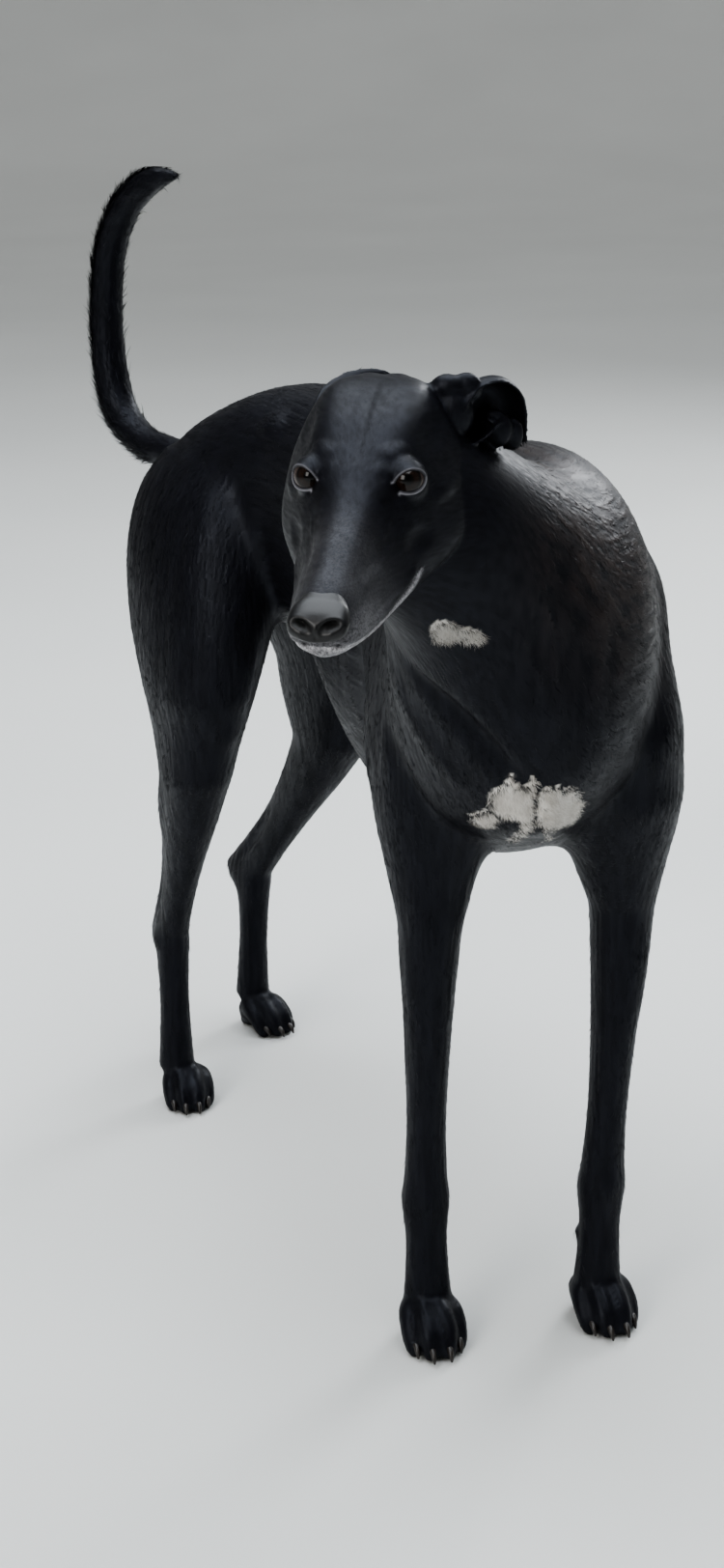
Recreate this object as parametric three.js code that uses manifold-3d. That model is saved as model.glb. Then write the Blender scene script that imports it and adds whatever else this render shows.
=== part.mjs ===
// A black greyhound, life size, standing with its spine bent and its head turned to its right.
// Millimetres, +Z up, the head end towards -Y, the dog's left towards +X, paws on z = 0.
import * as THREE from "three";
import { mergeVertices } from "three/addons/utils/BufferGeometryUtils.js";
import Module from "manifold-3d";

const wasm = await Module();
wasm.setup();
const { Manifold, Mesh } = wasm;

// Driving dimensions.
const GAP = 0.3; // left between touching pieces
const EYE_RADIUS = 12;
const EYE_CENTRE = { x: 30.3, y: 7, z: -1.5 }; // in the head's own frame
const LID_THICKNESS = 2.2;
const MOUTH_WIDTH = 1.6;
const EAR_THICKNESS = 3;
const CLAW_RADIUS = 2.6;

// The spine in plan: where the forward direction points, in degrees towards the dog's right, along
// the straight dog's own y. The loin bends, the neck swings further.
const SPINE = [
  { y: 260, heading: -18 },
  { y: -160, heading: 15 },
  { y: -300, heading: 58 },
  { y: -430, heading: 78 },
];
const SPINE_START = { x: -10, y: 50 };

// Vectors and curves.

const v3 = (x, y, z) => new THREE.Vector3(x, y, z);
const deg = THREE.MathUtils.degToRad;

function smooth(a, b, c, d, t) {
  const t2 = t * t;
  const t3 = t2 * t;
  return 0.5 * (2 * b + (c - a) * t + (2 * a - 5 * b + 4 * c - d) * t2 + (3 * b - a - 3 * c + d) * t3);
}

// Rows of numbers, blended smoothly; s runs from 0 to rows.length - 1.
function blend(rows, s) {
  const last = rows.length - 1;
  const i = Math.min(Math.floor(s), last - 1);
  const at = (k) => rows[Math.max(0, Math.min(last, k))];
  return rows[0].map((_, j) => smooth(at(i - 1)[j], at(i)[j], at(i + 1)[j], at(i + 2)[j], s - i));
}

function headingAt(y) {
  const k = SPINE.findIndex((p) => y > p.y);
  if (k === 0) return SPINE[0].heading;
  if (k < 0) return SPINE.at(-1).heading;
  const [a, b] = [SPINE[k - 1], SPINE[k]];
  return a.heading + ((b.heading - a.heading) * (a.y - y)) / (a.y - b.y);
}

// A point of the straight dog, carried round the bent spine.
function bend(p) {
  const at = v3(SPINE_START.x, SPINE_START.y, 0);
  const steps = Math.max(1, Math.ceil(Math.abs(p.y - SPINE_START.y) / 5));
  const step = (p.y - SPINE_START.y) / steps;
  for (let i = 0; i < steps; i++) {
    const h = deg(headingAt(SPINE_START.y + (i + 0.5) * step));
    at.x += step * Math.sin(h);
    at.y += step * Math.cos(h);
  }
  const h = deg(headingAt(p.y));
  return v3(at.x + p.x * Math.cos(h), at.y - p.x * Math.sin(h), p.z);
}

// Closed bodies.

function geometryOf(positions, triangles) {
  const geometry = new THREE.BufferGeometry();
  geometry.setAttribute("position", new THREE.Float32BufferAttribute(positions, 3));
  geometry.setIndex(triangles);
  return geometry;
}

// Rings of points, joined into one closed body with a fan over each end.
function ringsToGeometry(rings) {
  const around = rings[0].length;
  const positions = rings.flat().flatMap((p) => [p.x, p.y, p.z]);
  const triangles = [];
  for (let i = 0; i + 1 < rings.length; i++)
    for (let j = 0; j < around; j++) {
      const k = (j + 1) % around;
      const [a, b, c, d] = [i * around + j, i * around + k, (i + 1) * around + k, (i + 1) * around + j];
      triangles.push(a, b, c, a, c, d);
    }
  for (const [row, first] of [[0, true], [rings.length - 1, false]]) {
    const middle = rings[row].reduce((m, p) => m.add(p), v3(0, 0, 0)).divideScalar(around);
    const m = positions.length / 3;
    positions.push(middle.x, middle.y, middle.z);
    for (let j = 0; j < around; j++) {
      const [a, b] = [row * around + j, row * around + ((j + 1) % around)];
      triangles.push(...(first ? [m, b, a] : [m, a, b]));
    }
  }
  return geometryOf(positions, triangles);
}

function solid(geometry) {
  const bare = geometry.clone();
  for (const name of ["normal", "uv"]) bare.deleteAttribute(name);
  const merged = mergeVertices(bare, 1e-4);
  const triVerts = new Uint32Array(merged.index.array);
  const vertProperties = merged.attributes.position.array;
  const make = () => new Manifold(new Mesh({ numProp: 3, vertProperties, triVerts }));
  const made = make();
  if (made.volume() > 0) return made;
  for (let i = 0; i < triVerts.length; i += 3)
    [triVerts[i + 1], triVerts[i + 2]] = [triVerts[i + 2], triVerts[i + 1]];
  return make();
}

const loft = (rings) => solid(ringsToGeometry(rings));
const join = (...parts) => parts.flat().reduce((whole, part) => whole.add(part));
const largest = (body) => body.decompose().sort((a, b) => b.volume() - a.volume())[0];

// Keeps the side of a body that the normal points to, from half a gap off the plane.
function keepSide(body, point, normal) {
  const n = normal.clone().normalize();
  return body.trimByPlane([n.x, n.y, n.z], n.dot(point) + GAP / 2);
}

function ellipsoid(radii, matrix = new THREE.Matrix4(), segments = 20) {
  const geometry = new THREE.SphereGeometry(1, segments, segments / 2);
  geometry.rotateX(Math.PI / 2).scale(radii.x, radii.y, radii.z).applyMatrix4(matrix);
  return solid(geometry);
}

// A superellipse ring: side and up are unit axes, sizes are half-widths to each way.
function ring(centre, side, up, sizes, around) {
  const { left, right, top, bottom, nTop = 2, nBottom = 2 } = sizes;
  return Array.from({ length: around }, (_, j) => {
    const a = (2 * Math.PI * j) / around;
    const [c, s] = [Math.cos(a), Math.sin(a)];
    const power = 2 / (s > 0 ? nTop : nBottom);
    const x = (c > 0 ? left : right) * Math.sign(c) * Math.abs(c) ** power;
    const y = (s > 0 ? top : bottom) * Math.sign(s) * Math.abs(s) ** power;
    return centre.clone().addScaledVector(side, x).addScaledVector(up, y);
  });
}

// A round rod along points, with a radius at each.
function rod(points, radii, around = 10, alongEach = 2) {
  const curve = new THREE.CatmullRomCurve3(points, false, "centripetal");
  const rows = radii.map((r) => [r]);
  const steps = (points.length - 1) * alongEach;
  const frames = curve.computeFrenetFrames(steps);
  return loft(Array.from({ length: steps + 1 }, (_, i) => {
    const t = i / steps;
    const [r] = blend(rows, t * (points.length - 1));
    const sizes = { left: r, right: r, top: r, bottom: r };
    return ring(curve.getPoint(t), frames.normals[i], frames.binormals[i], sizes, around);
  }));
}

// Trunk and neck, drawn straight and then bent. Each row: top outline y, z; bottom outline y, z;
// half-width; share of the depth from the top down to the widest place; squareness of the upper and
// of the lower half.
const TRUNK = [
  [381, 606, 382, 588, 10, 0.5, 2.0, 2.0],
  [373, 623, 378, 572, 32, 0.5, 2.0, 2.0],
  [352, 643, 364, 552, 54, 0.48, 2.1, 1.9],
  [320, 664, 332, 530, 74, 0.46, 2.2, 1.9],
  [275, 685, 284, 500, 87, 0.46, 2.2, 1.9],
  [230, 698, 230, 482, 80, 0.46, 2.4, 2.0],
  [182, 701, 178, 480, 76, 0.46, 2.4, 2.0],
  [132, 700, 126, 450, 82, 0.48, 2.4, 2.0],
  [80, 696, 72, 408, 94, 0.5, 2.3, 1.95],
  [20, 693, 10, 372, 104, 0.5, 2.3, 1.9],
  [-45, 693, -60, 358, 108, 0.5, 2.3, 1.85],
  [-105, 700, -130, 374, 107, 0.5, 2.4, 1.85],
  [-150, 707, -200, 400, 105, 0.52, 2.4, 1.9],
  [-182, 710, -264, 428, 103, 0.55, 2.3, 2.0],
  [-206, 711, -312, 460, 98, 0.56, 2.2, 2.1],
  [-235, 710, -336, 500, 87, 0.56, 2.05, 2.2],
  [-268, 718, -356, 552, 75, 0.54, 2.0, 2.2],
  [-305, 734, -378, 598, 62, 0.52, 2.0, 2.1],
  [-345, 752, -405, 630, 54, 0.5, 2.0, 2.0],
  [-385, 768, -435, 650, 50, 0.5, 2.0, 2.0],
  [-412, 776, -458, 662, 46, 0.5, 2.0, 2.0],
];

function trunkStation([topY, topZ, bottomY, bottomZ, half, wide, nTop, nBottom]) {
  const [top, bottom] = [v3(0, topY, topZ), v3(0, bottomY, bottomZ)];
  const depth = top.distanceTo(bottom);
  return {
    centre: top.clone().lerp(bottom, wide),
    up: top.clone().sub(bottom).divideScalar(depth),
    sizes: { left: half, right: half, top: wide * depth, bottom: (1 - wide) * depth, nTop, nBottom },
  };
}

// swell pushes the skin out, to make a cutter that leaves the gap.
function trunkLoft(around, alongEach, swell = 0) {
  const rings = [];
  for (let i = 0; i <= (TRUNK.length - 1) * alongEach; i++) {
    const { centre, up, sizes } = trunkStation(blend(TRUNK, i / alongEach));
    for (const key of ["left", "right", "top", "bottom"]) sizes[key] += swell;
    rings.push(ring(centre, v3(1, 0, 0), up, sizes, around).map(bend));
  }
  return loft(rings);
}

// The head has its own frame: x to the dog's left, y to the back from between the eyes, z up.

const HEAD = { at: v3(-255, -350, 734), yaw: 38.5, pitch: 12, roll: 0.5 };

// Each row: place along y; top z; then half-width and z of the crown's edge, the widest place and the
// lower jaw's side; bottom z.
const HEAD_SECTIONS = [
  [108, 20, 8, 16, 14, 4, 10, -8, -12],
  [102, 30, 19, 24, 32, -4, 27, -25, -33],
  [88, 36, 30, 30, 50, -11, 46, -40, -54],
  [70, 38, 34, 32, 60, -18, 56, -52, -68],
  [50, 36, 33, 29, 59, -23, 58, -58, -76],
  [30, 31, 31, 23, 54, -26, 54, -61, -79],
  [12, 22.5, 29, 13, 47, -28, 47, -65, -80],
  [-5, 12.5, 24, 3.5, 40, -33, 40, -67, -80],
  [-20, 3, 19.5, -6.5, 34.5, -39, 36.5, -67, -79],
  [-40, -7, 16, -15.5, 30, -46, 32.5, -66, -77],
  [-60, -14, 14.5, -21.5, 27.5, -48, 29, -65, -76],
  [-80, -20, 14, -27, 25.5, -49, 25, -64.5, -75],
  [-98, -25, 13.5, -31, 23.5, -50, 20.5, -63, -72.5],
  [-110, -31, 12.5, -36, 19.5, -50, 16.5, -61, -69],
  [-116, -38, 9.5, -41, 14.5, -50, 11.5, -59, -65],
];

function frameOf({ at, yaw, pitch = 0, roll = 0 }) {
  const turn = new THREE.Euler(deg(pitch), deg(roll), -deg(yaw), "ZYX");
  return new THREE.Matrix4().makeRotationFromEuler(turn).setPosition(at);
}
const TO_HEAD = frameOf(HEAD);
const inHead = (x, y, z) => v3(x, y, z).applyMatrix4(TO_HEAD);

function headRing([y, top, w1, z1, w2, z2, w3, z3, bottom], around) {
  const outline = [
    v3(0, y, top), v3(w1, y, z1), v3(w2, y, z2), v3(w3, y, z3),
    v3(0, y, bottom), v3(-w3, y, z3), v3(-w2, y, z2), v3(-w1, y, z1),
  ];
  const curve = new THREE.CatmullRomCurve3(outline, true, "centripetal");
  return Array.from({ length: around }, (_, j) => curve.getPoint(j / around).applyMatrix4(TO_HEAD));
}

function headLoft(around, alongEach) {
  const rings = [];
  for (let i = 0; i <= (HEAD_SECTIONS.length - 1) * alongEach; i++)
    rings.push(headRing(blend(HEAD_SECTIONS, i / alongEach), around));
  return loft(rings);
}

// The opening between the lids: x towards the temple, y up, on a plane in front of the eyeball.
const LIDS = [
  [-10.4, -2.4], [-7, 4.4], [0, 7.6], [6.8, 5.8], [10.2, 0.6], [7, -5.2], [0.4, -7.4], [-6.4, -5.8],
];

function eyeFrame(side) {
  const { x, y, z } = EYE_CENTRE;
  const turn = frameOf({ at: v3(side * x, y, z), yaw: -side * 28, pitch: -12 });
  return TO_HEAD.clone().multiply(turn);
}

function lidCurve(side, forward, grow) {
  const points = LIDS.map(([x, z]) => v3(side * x * grow, -forward - 0.012 * (100 - x * x), z * grow));
  return new THREE.CatmullRomCurve3(points, true, "centripetal");
}

function eyeOpening(side) {
  const frame = eyeFrame(side);
  const edge = (forward) => lidCurve(side, forward, 1 + forward * 0.006).getPoints(20).slice(0, 20);
  return loft([0, 30].map((forward) => edge(forward).map((p) => p.applyMatrix4(frame))));
}

const eyeball = (side, grow = 0) => {
  const r = EYE_RADIUS + grow;
  return ellipsoid(v3(r, r, r), eyeFrame(side), 18);
};

// The line of the mouth: from under the nose back along the lips to the corner.
const MOUTH = [
  [0, -121, -57], [11, -116, -58], [19, -104, -59], [24, -85, -60], [28.5, -62, -61], [34, -40, -61],
  [38, -22, -58], [39, -12, -54],
];

function mouthLine() {
  const left = MOUTH.map(([x, y, z]) => inHead(x, y, z));
  const right = MOUTH.slice(1).map(([x, y, z]) => inHead(-x, y, z)).reverse();
  const points = [...right, ...left];
  return rod(points, points.map(() => MOUTH_WIDTH), 6, 2);
}

// The nose leather: rows of y, half-width, top z, bottom z; then nostrils and the furrow between.
const NOSE = [
  [-101, 11, -30, -42],
  [-106, 16, -28.5, -47],
  [-113, 18.6, -29.5, -50],
  [-120, 19, -32.5, -51.5],
  [-125, 17, -36.5, -51],
  [-129, 11, -41, -49.5],
];

function noseLoft(around, grow = 0) {
  return loft(NOSE.map(([y, w, top, bottom]) => {
    const [middle, half] = [(top + bottom) / 2, (top - bottom) / 2 + grow];
    const sizes = { left: w + grow, right: w + grow, top: half, bottom: half, nTop: 2.4, nBottom: 2.2 };
    const centre = v3(0, y + Math.sign(y + 113) * grow, middle);
    return ring(centre, v3(1, 0, 0), v3(0, 0, 1), sizes, around).map((p) => p.applyMatrix4(TO_HEAD));
  }));
}

const NOSTRIL = [[5.5, -134, -38], [8.5, -128, -39.5], [13, -122, -41], [19, -116, -43], [25, -112, -44]];
const NOSTRIL_RADII = [3.4, 3.4, 3, 2.2, 1.6];
const FURROW = [[0, -134, -34], [0, -131, -40], [0, -128, -47], [0, -123, -53]];
const FURROW_RADII = [0.8, 1, 1, 1];

function nose() {
  const groove = (path, radii, side, around) =>
    rod(path.map(([x, y, z]) => inHead(side * x, y, z)), radii, around, 1);
  let body = noseLoft(24).subtract(groove(FURROW, FURROW_RADII, 1, 6));
  for (const side of [-1, 1]) body = body.subtract(groove(NOSTRIL, NOSTRIL_RADII, side, 8));
  return body;
}

// An ear folded back: a shell with a crescent section along a path; rows of x, y, z of the middle of
// the back wall's curve, radius, half of the angle it goes round, and which way it opens.
const EARS = {
  left: [
    [50, 84, -6, 10, 150, [0.4, -0.9, 0.1]],
    [57, 87, 4, 15, 136, [0.45, -0.88, 0.05]],
    [64, 91, 14, 17, 122, [0.5, -0.85, 0]],
    [71, 96, 18, 16, 112, [0.5, -0.85, -0.1]],
    [77, 101, 12, 14.5, 104, [0.55, -0.75, -0.25]],
    [82, 106, 0, 11.5, 96, [0.65, -0.65, -0.25]],
    [87, 110, -12, 7.5, 90, [0.7, -0.6, -0.2]],
    [90, 112, -22, 3.5, 84, [0.7, -0.6, -0.2]],
  ],
  right: [
    [42, 80, 1, 12, 150, [0.75, -0.65, 0.1]],
    [43, 92, 8, 13.5, 125, [0.85, -0.4, 0.1]],
    [39, 104, 13, 13.5, 110, [0.85, 0, 0.1]],
    [31, 114, 17, 12.5, 100, [0.6, 0.6, 0.2]],
    [20, 121, 20, 10.5, 92, [0.3, 0.9, 0.2]],
    [8, 124, 21.5, 8, 88, [0.2, 0.9, 0.2]],
    [-1, 125, 21, 4, 84, [0.2, 0.9, 0.2]],
  ],
};

function ear(side, rowsOfEar, arcPoints = 9, alongEach = 2) {
  const middles = rowsOfEar.map(([x, y, z]) => v3(side * x, y, z));
  const path = new THREE.CatmullRomCurve3(middles, false, "centripetal");
  const rows = rowsOfEar.map(([, , , r, half, open]) => [r, half, ...open]);
  const steps = (rowsOfEar.length - 1) * alongEach;
  const rings = [];
  for (let i = 0; i <= steps; i++) {
    const t = i / steps;
    const [r, half, ox, oy, oz] = blend(rows, t * (rowsOfEar.length - 1));
    const along = path.getTangent(t);
    const open = v3(side * ox, oy, oz);
    open.addScaledVector(along, -open.dot(along)).normalize();
    const across = along.clone().cross(open).normalize();
    const at = (angle, radius) => path.getPoint(t)
      .addScaledVector(open, -Math.cos(angle) * radius)
      .addScaledVector(across, Math.sin(angle) * radius).applyMatrix4(TO_HEAD);
    const arc = (angle, radius) => Array.from({ length: arcPoints }, (_, k) =>
      at(deg(angle) * ((2 * k) / (arcPoints - 1) - 1), radius));
    const thick = Math.min(EAR_THICKNESS, r * 0.6);
    rings.push([...arc(half, r), ...arc(-half * 0.94, r - thick)]);
  }
  return loft(rings);
}

// A limb stands on level sections along its joints; each row: place along the joints (1.5 is half way
// down the second bone), then reach to the front, back, outer and inner side.
function limbLoft({ joints, sections, sign, headings }, around, alongEach) {
  const at = (s) => {
    const i = Math.min(Math.max(Math.floor(s), 0), joints.length - 2);
    const h = headings[i] + (headings[i + 1] - headings[i]) * (s - i);
    return { centre: joints[i].clone().lerp(joints[i + 1], s - i), h: deg(h) };
  };
  const rings = [];
  for (let i = 0; i <= (sections.length - 1) * alongEach; i++) {
    const [s, front, back, outer, inner, nFront, nBack] = blend(sections, i / alongEach);
    const { centre, h } = at(s);
    const out = v3(sign * Math.cos(h), -sign * Math.sin(h), 0);
    const fore = v3(-Math.sin(h), -Math.cos(h), 0);
    const sizes = { left: outer, right: inner, top: front, bottom: back, nTop: nFront, nBottom: nBack };
    rings.push(ring(centre, out, fore, sizes, around));
  }
  return loft(rings);
}

const FRONT_SECTIONS = [
  [0, 34, 50, 20, 30, 2, 2],
  [0.2, 52, 70, 34, 30, 2, 2],
  [0.5, 66, 86, 36, 34, 2, 2],
  [0.8, 64, 92, 40, 44, 2, 2],
  [1.1, 54, 84, 40, 54, 2, 2],
  [1.4, 44, 68, 37, 60, 2, 2],
  [1.55, 39, 61, 34, 51, 2, 2],
  [1.7, 34, 54, 31, 42, 2, 2],
  [2.0, 28, 42, 25, 28, 2, 2],
  [2.15, 27, 33, 23.5, 24, 2, 2],
  [2.4, 23, 25, 19.5, 19.5, 2, 2],
  [2.7, 18, 18, 16.5, 16.5, 2, 2],
  [2.9, 17, 17, 18, 18, 2, 2],
  [3.0, 18, 20, 20, 20, 2.2, 2],
  [3.15, 17, 21, 19, 19, 2.2, 2],
  [3.4, 15, 16, 17.5, 17.5, 2.2, 2],
  [3.75, 16, 17, 18.5, 18.5, 2.2, 2],
  [4.0, 18, 18, 20, 20, 2.2, 2],
];
const HIND_SECTIONS = [
  [0, 34, 74, 28, 34, 2, 2.1],
  [0.15, 56, 105, 43, 46, 2, 2.2],
  [0.35, 64, 117, 52, 54, 2, 2.2],
  [0.6, 64, 114, 50, 50, 2, 2.1],
  [0.8, 54, 98, 44, 41, 2, 2],
  [1.0, 44, 75, 35, 34, 2, 2],
  [1.2, 34, 56, 29, 29, 2, 2],
  [1.4, 31, 44, 24, 23, 2, 2],
  [1.6, 25, 38, 19, 18, 2, 1.9],
  [1.8, 21, 41, 15.5, 15.5, 2, 1.8],
  [1.93, 20, 45, 15.5, 15.5, 2, 1.8],
  [2.04, 20, 41, 17, 17, 2, 1.9],
  [2.2, 17, 22, 16, 16, 2, 2],
  [2.5, 15, 17, 15, 15, 2, 2],
  [2.8, 16, 18, 16.5, 16.5, 2, 2],
  [3.0, 17, 18, 18, 18, 2, 2],
];

// Joints: from the top of the mass, over the bones' ends, to just above the paw. cuts are the heights
// where the leg is parted, the first from the trunk, the last from the paw.
const LEGS = {
  front_right: {
    sign: -1,
    joints: [
      bend(v3(-72, -165, 640)), bend(v3(-74, -215, 480)),
      v3(-121, -184, 355), v3(-124, -180, 118), v3(-125, -184, 34),
    ],
    headings: [20, 20, 20, 15, 12],
    sections: FRONT_SECTIONS,
    paw: { at: v3(-125, -183, 0), yaw: 14, size: 0.92 },
    cuts: [404, 118, 46],
  },
  front_left: {
    sign: 1,
    joints: [
      bend(v3(72, -165, 640)), bend(v3(84, -215, 480)),
      v3(27, -224, 355), v3(12, -222, 118), v3(8, -224, 34),
    ],
    headings: [20, 20, 20, 15, 12],
    sections: FRONT_SECTIONS,
    paw: { at: v3(11, -216, 0), yaw: 8, size: 0.92 },
    cuts: [404, 118, 46],
  },
  hind_right: {
    sign: -1,
    joints: [
      bend(v3(-50, 268, 640)), bend(v3(-104, 242, 392)), v3(-136, 322, 168), v3(-141, 312, 34),
    ],
    headings: [-16, -8, 4, 10],
    sections: HIND_SECTIONS,
    paw: { at: v3(-133, 312, 0), yaw: 14, size: 0.86 },
    cuts: [480, 372, 170, 44],
  },
  hind_left: {
    sign: 1,
    joints: [bend(v3(50, 268, 640)), bend(v3(82, 244, 378)), v3(0, 436, 168), v3(-5, 440, 34)],
    headings: [-16, -18, -14, -14],
    sections: HIND_SECTIONS,
    paw: { at: v3(-3, 436, 0), yaw: -16, size: 0.86 },
    cuts: [480, 372, 170, 44],
  },
};

// Toes of one paw, side by side: root, knuckle, last joint and tip as x, y, z in the paw's own frame.
const TOES = [
  [[-11, 4, 26], [-17.5, -12, 27], [-19.5, -27, 17], [-19, -35, 6]],
  [[-5, 4, 28], [-6.5, -20, 33], [-7.5, -39, 21], [-7.5, -47, 7]],
  [[5, 4, 28], [6.5, -20, 33], [7.5, -39, 21], [7.5, -47, 7]],
  [[11, 4, 26], [17.5, -12, 27], [19.5, -27, 17], [19, -35, 6]],
];
const TOE_RADII = [12, 11, 9.8, 8.2];

function paw({ at, yaw, size }, heel) {
  const frame = frameOf({ at, yaw });
  const place = ([x, y, z]) => v3(x * size, y * size, z).applyMatrix4(frame);
  const pad = (centre, radii) => ellipsoid(v3(...radii), frame.clone().setPosition(place(centre)), 10);
  const parts = [heel, pad([0, 0, 19], [22 * size, 19, 17]), pad([0, 5, 6], [19 * size, 15, 9])];
  for (const toe of TOES) {
    const [x, y] = toe.at(-1);
    parts.push(rod(toe.map(place), TOE_RADII.map((r) => r * size), 8, 1));
    parts.push(rod([[x, y, 10], [x, y - 8, 9], [x, y - 13, 3.5]].map(place), [3.2, CLAW_RADIUS, 0.8], 5, 1));
  }
  return join(parts).trimByPlane([0, 0, 1], 0);
}

// The tail: places on the straight dog, and the radius there.
const TAIL = [
  [322, 606, 24],
  [362, 612, 19],
  [402, 616, 15.5],
  [440, 622, 15.5],
  [474, 647, 16.5],
  [488, 694, 16],
  [488, 748, 15.5],
  [478, 798, 15],
  [452, 838, 14.5],
  [414, 862, 12.5],
  [378, 868, 5],
];

// The whole dog.
const dog = new THREE.Group();
const finish = (color, roughness) => new THREE.MeshStandardMaterial({ color, roughness, metalness: 0 });
const coat = () => finish(0x17161a, 0.55);
const leather = () => finish(0x0e0e12, 0.35);
const iris = () => finish(0x24150d, 0.08);

function add(name, body, material = coat()) {
  const { vertProperties, triVerts, numProp, numVert } = largest(body).getMesh();
  const positions = [];
  for (let i = 0; i < numVert; i++) positions.push(...vertProperties.subarray(i * numProp, i * numProp + 3));
  const mesh = new THREE.Mesh(geometryOf(positions, [...triVerts]), material);
  mesh.name = name;
  dog.add(mesh);
}

const below = (body, z) => keepSide(body, v3(0, 0, z), v3(0, 0, -1));
const above = (body, z) => keepSide(body, v3(0, 0, z), v3(0, 0, 1));

let whole = trunkLoft(32, 2);
const trunkCutter = trunkLoft(32, 2, GAP);
for (const [name, leg] of Object.entries(LEGS)) {
  const limb = limbLoft(leg, 16, 1);
  const front = name.startsWith("front");
  whole = whole.add(above(limb, leg.cuts[0]));
  const free = below(limb, leg.cuts[0]).subtract(trunkCutter);
  const names = front ? ["forearm", "pastern"] : ["thigh", "shank", "hock"];
  names.forEach((part, i) => add(name + "_" + part, above(below(free, leg.cuts[i]), leg.cuts[i + 1])));
  add(name + "_paw", paw(leg.paw, below(free, leg.cuts.at(-1))));
}

// The planes that part it: a place, and a normal to the front.
const across = (y) => [bend(v3(0, y, 500)), bend(v3(0, y - 10, 0)).sub(bend(v3(0, y + 10, 0)))];
const nape = [bend(v3(0, -400, 715)), v3(-0.62, -0.72, 0.25)];
const neckBase = [bend(v3(0, -262, 600)), bend(v3(0, -350, 700)).sub(bend(v3(0, -262, 600)))];
const waist = across(20);
const rump = across(180);
const split = (body, [point, normal]) =>
  [keepSide(body, point, normal), keepSide(body, point, normal.clone().negate())];

const skull = headLoft(28, 1);
const [frontEnd, trunk] = split(whole.add(skull), neckBase);
const [head, neck] = split(frontEnd, nape);
const [chest, rear] = split(trunk, waist);
const [loin, haunches] = split(rear, rump);

let face = head;
for (const side of [-1, 1]) {
  face = face.add(eyeball(side, LID_THICKNESS)).subtract(eyeOpening(side)).subtract(eyeball(side, GAP));
}
face = face.subtract(mouthLine()).subtract(noseLoft(24, GAP));
const ears = { left: ear(1, EARS.left), right: ear(-1, EARS.right) };
for (const [name, shell] of Object.entries(ears)) add("ear_" + name, shell.subtract(skull).subtract(neck));
add("head", face);
add("neck", neck);
add("chest", chest);
add("loin", loin);
add("haunches", haunches);
add("nose", nose(), leather());
add("eye_left", eyeball(1), iris());
add("eye_right", eyeball(-1), iris());

const tailPath = TAIL.map(([y, z]) => bend(v3(0, y, z)));
const tail = rod(tailPath, TAIL.map(([, , r]) => r), 14, 2).subtract(trunkCutter);
const [tailRoot, tailRise] = split(tail, [tailPath[4], tailPath[3].clone().sub(tailPath[5])]);
const [tailEnd, tailMiddle] = split(tailRise, [tailPath[8], tailPath[9].clone().sub(tailPath[7])]);
add("tail_root", tailRoot);
add("tail_middle", tailMiddle);
add("tail_end", tailEnd);

// The origin stands under the middle of the model.
const middle = new THREE.Box3().setFromObject(dog).getCenter(v3(0, 0, 0));
dog.position.set(-middle.x, -middle.y, 0);

export default dog;
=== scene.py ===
"""Looks of a life-size standing greyhound: skin, coat, eyes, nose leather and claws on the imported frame."""

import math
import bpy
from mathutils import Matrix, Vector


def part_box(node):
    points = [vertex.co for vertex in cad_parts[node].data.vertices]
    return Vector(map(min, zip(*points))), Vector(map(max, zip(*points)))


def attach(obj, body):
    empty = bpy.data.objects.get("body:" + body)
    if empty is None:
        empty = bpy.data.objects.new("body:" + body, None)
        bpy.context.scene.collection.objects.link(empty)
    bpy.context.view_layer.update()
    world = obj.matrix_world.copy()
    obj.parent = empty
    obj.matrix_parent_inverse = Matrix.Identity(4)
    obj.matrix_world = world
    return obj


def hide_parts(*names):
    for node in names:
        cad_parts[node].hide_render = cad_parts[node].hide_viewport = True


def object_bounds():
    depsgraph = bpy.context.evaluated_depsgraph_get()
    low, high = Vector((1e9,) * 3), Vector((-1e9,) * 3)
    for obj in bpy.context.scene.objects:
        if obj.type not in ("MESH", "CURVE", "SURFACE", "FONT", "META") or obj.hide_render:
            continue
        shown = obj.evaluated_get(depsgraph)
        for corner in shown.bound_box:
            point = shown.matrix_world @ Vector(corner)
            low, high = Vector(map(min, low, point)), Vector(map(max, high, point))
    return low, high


bl_info = {
    "name": "Standing greyhound",
    "version": (1, 0, 0),
    "blender": (4, 5, 0),
    "location": "View3D > Sidebar > Greyhound",
    "description": "Builds the skin, coat, eyes, nose and claws of a still greyhound model",
    "category": "Object",
}

import bmesh
import bpy
import numpy as np
from mathutils import Matrix, Vector
from mathutils.bvhtree import BVHTree
from mathutils.kdtree import KDTree

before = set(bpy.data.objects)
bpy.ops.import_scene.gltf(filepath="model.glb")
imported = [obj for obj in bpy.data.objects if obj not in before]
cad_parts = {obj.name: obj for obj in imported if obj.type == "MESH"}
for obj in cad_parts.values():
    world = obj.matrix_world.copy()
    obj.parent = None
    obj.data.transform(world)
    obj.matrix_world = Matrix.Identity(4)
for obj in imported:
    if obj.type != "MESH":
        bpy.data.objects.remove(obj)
CAD_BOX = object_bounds()
BODY = "root"
MM = 0.001

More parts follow.
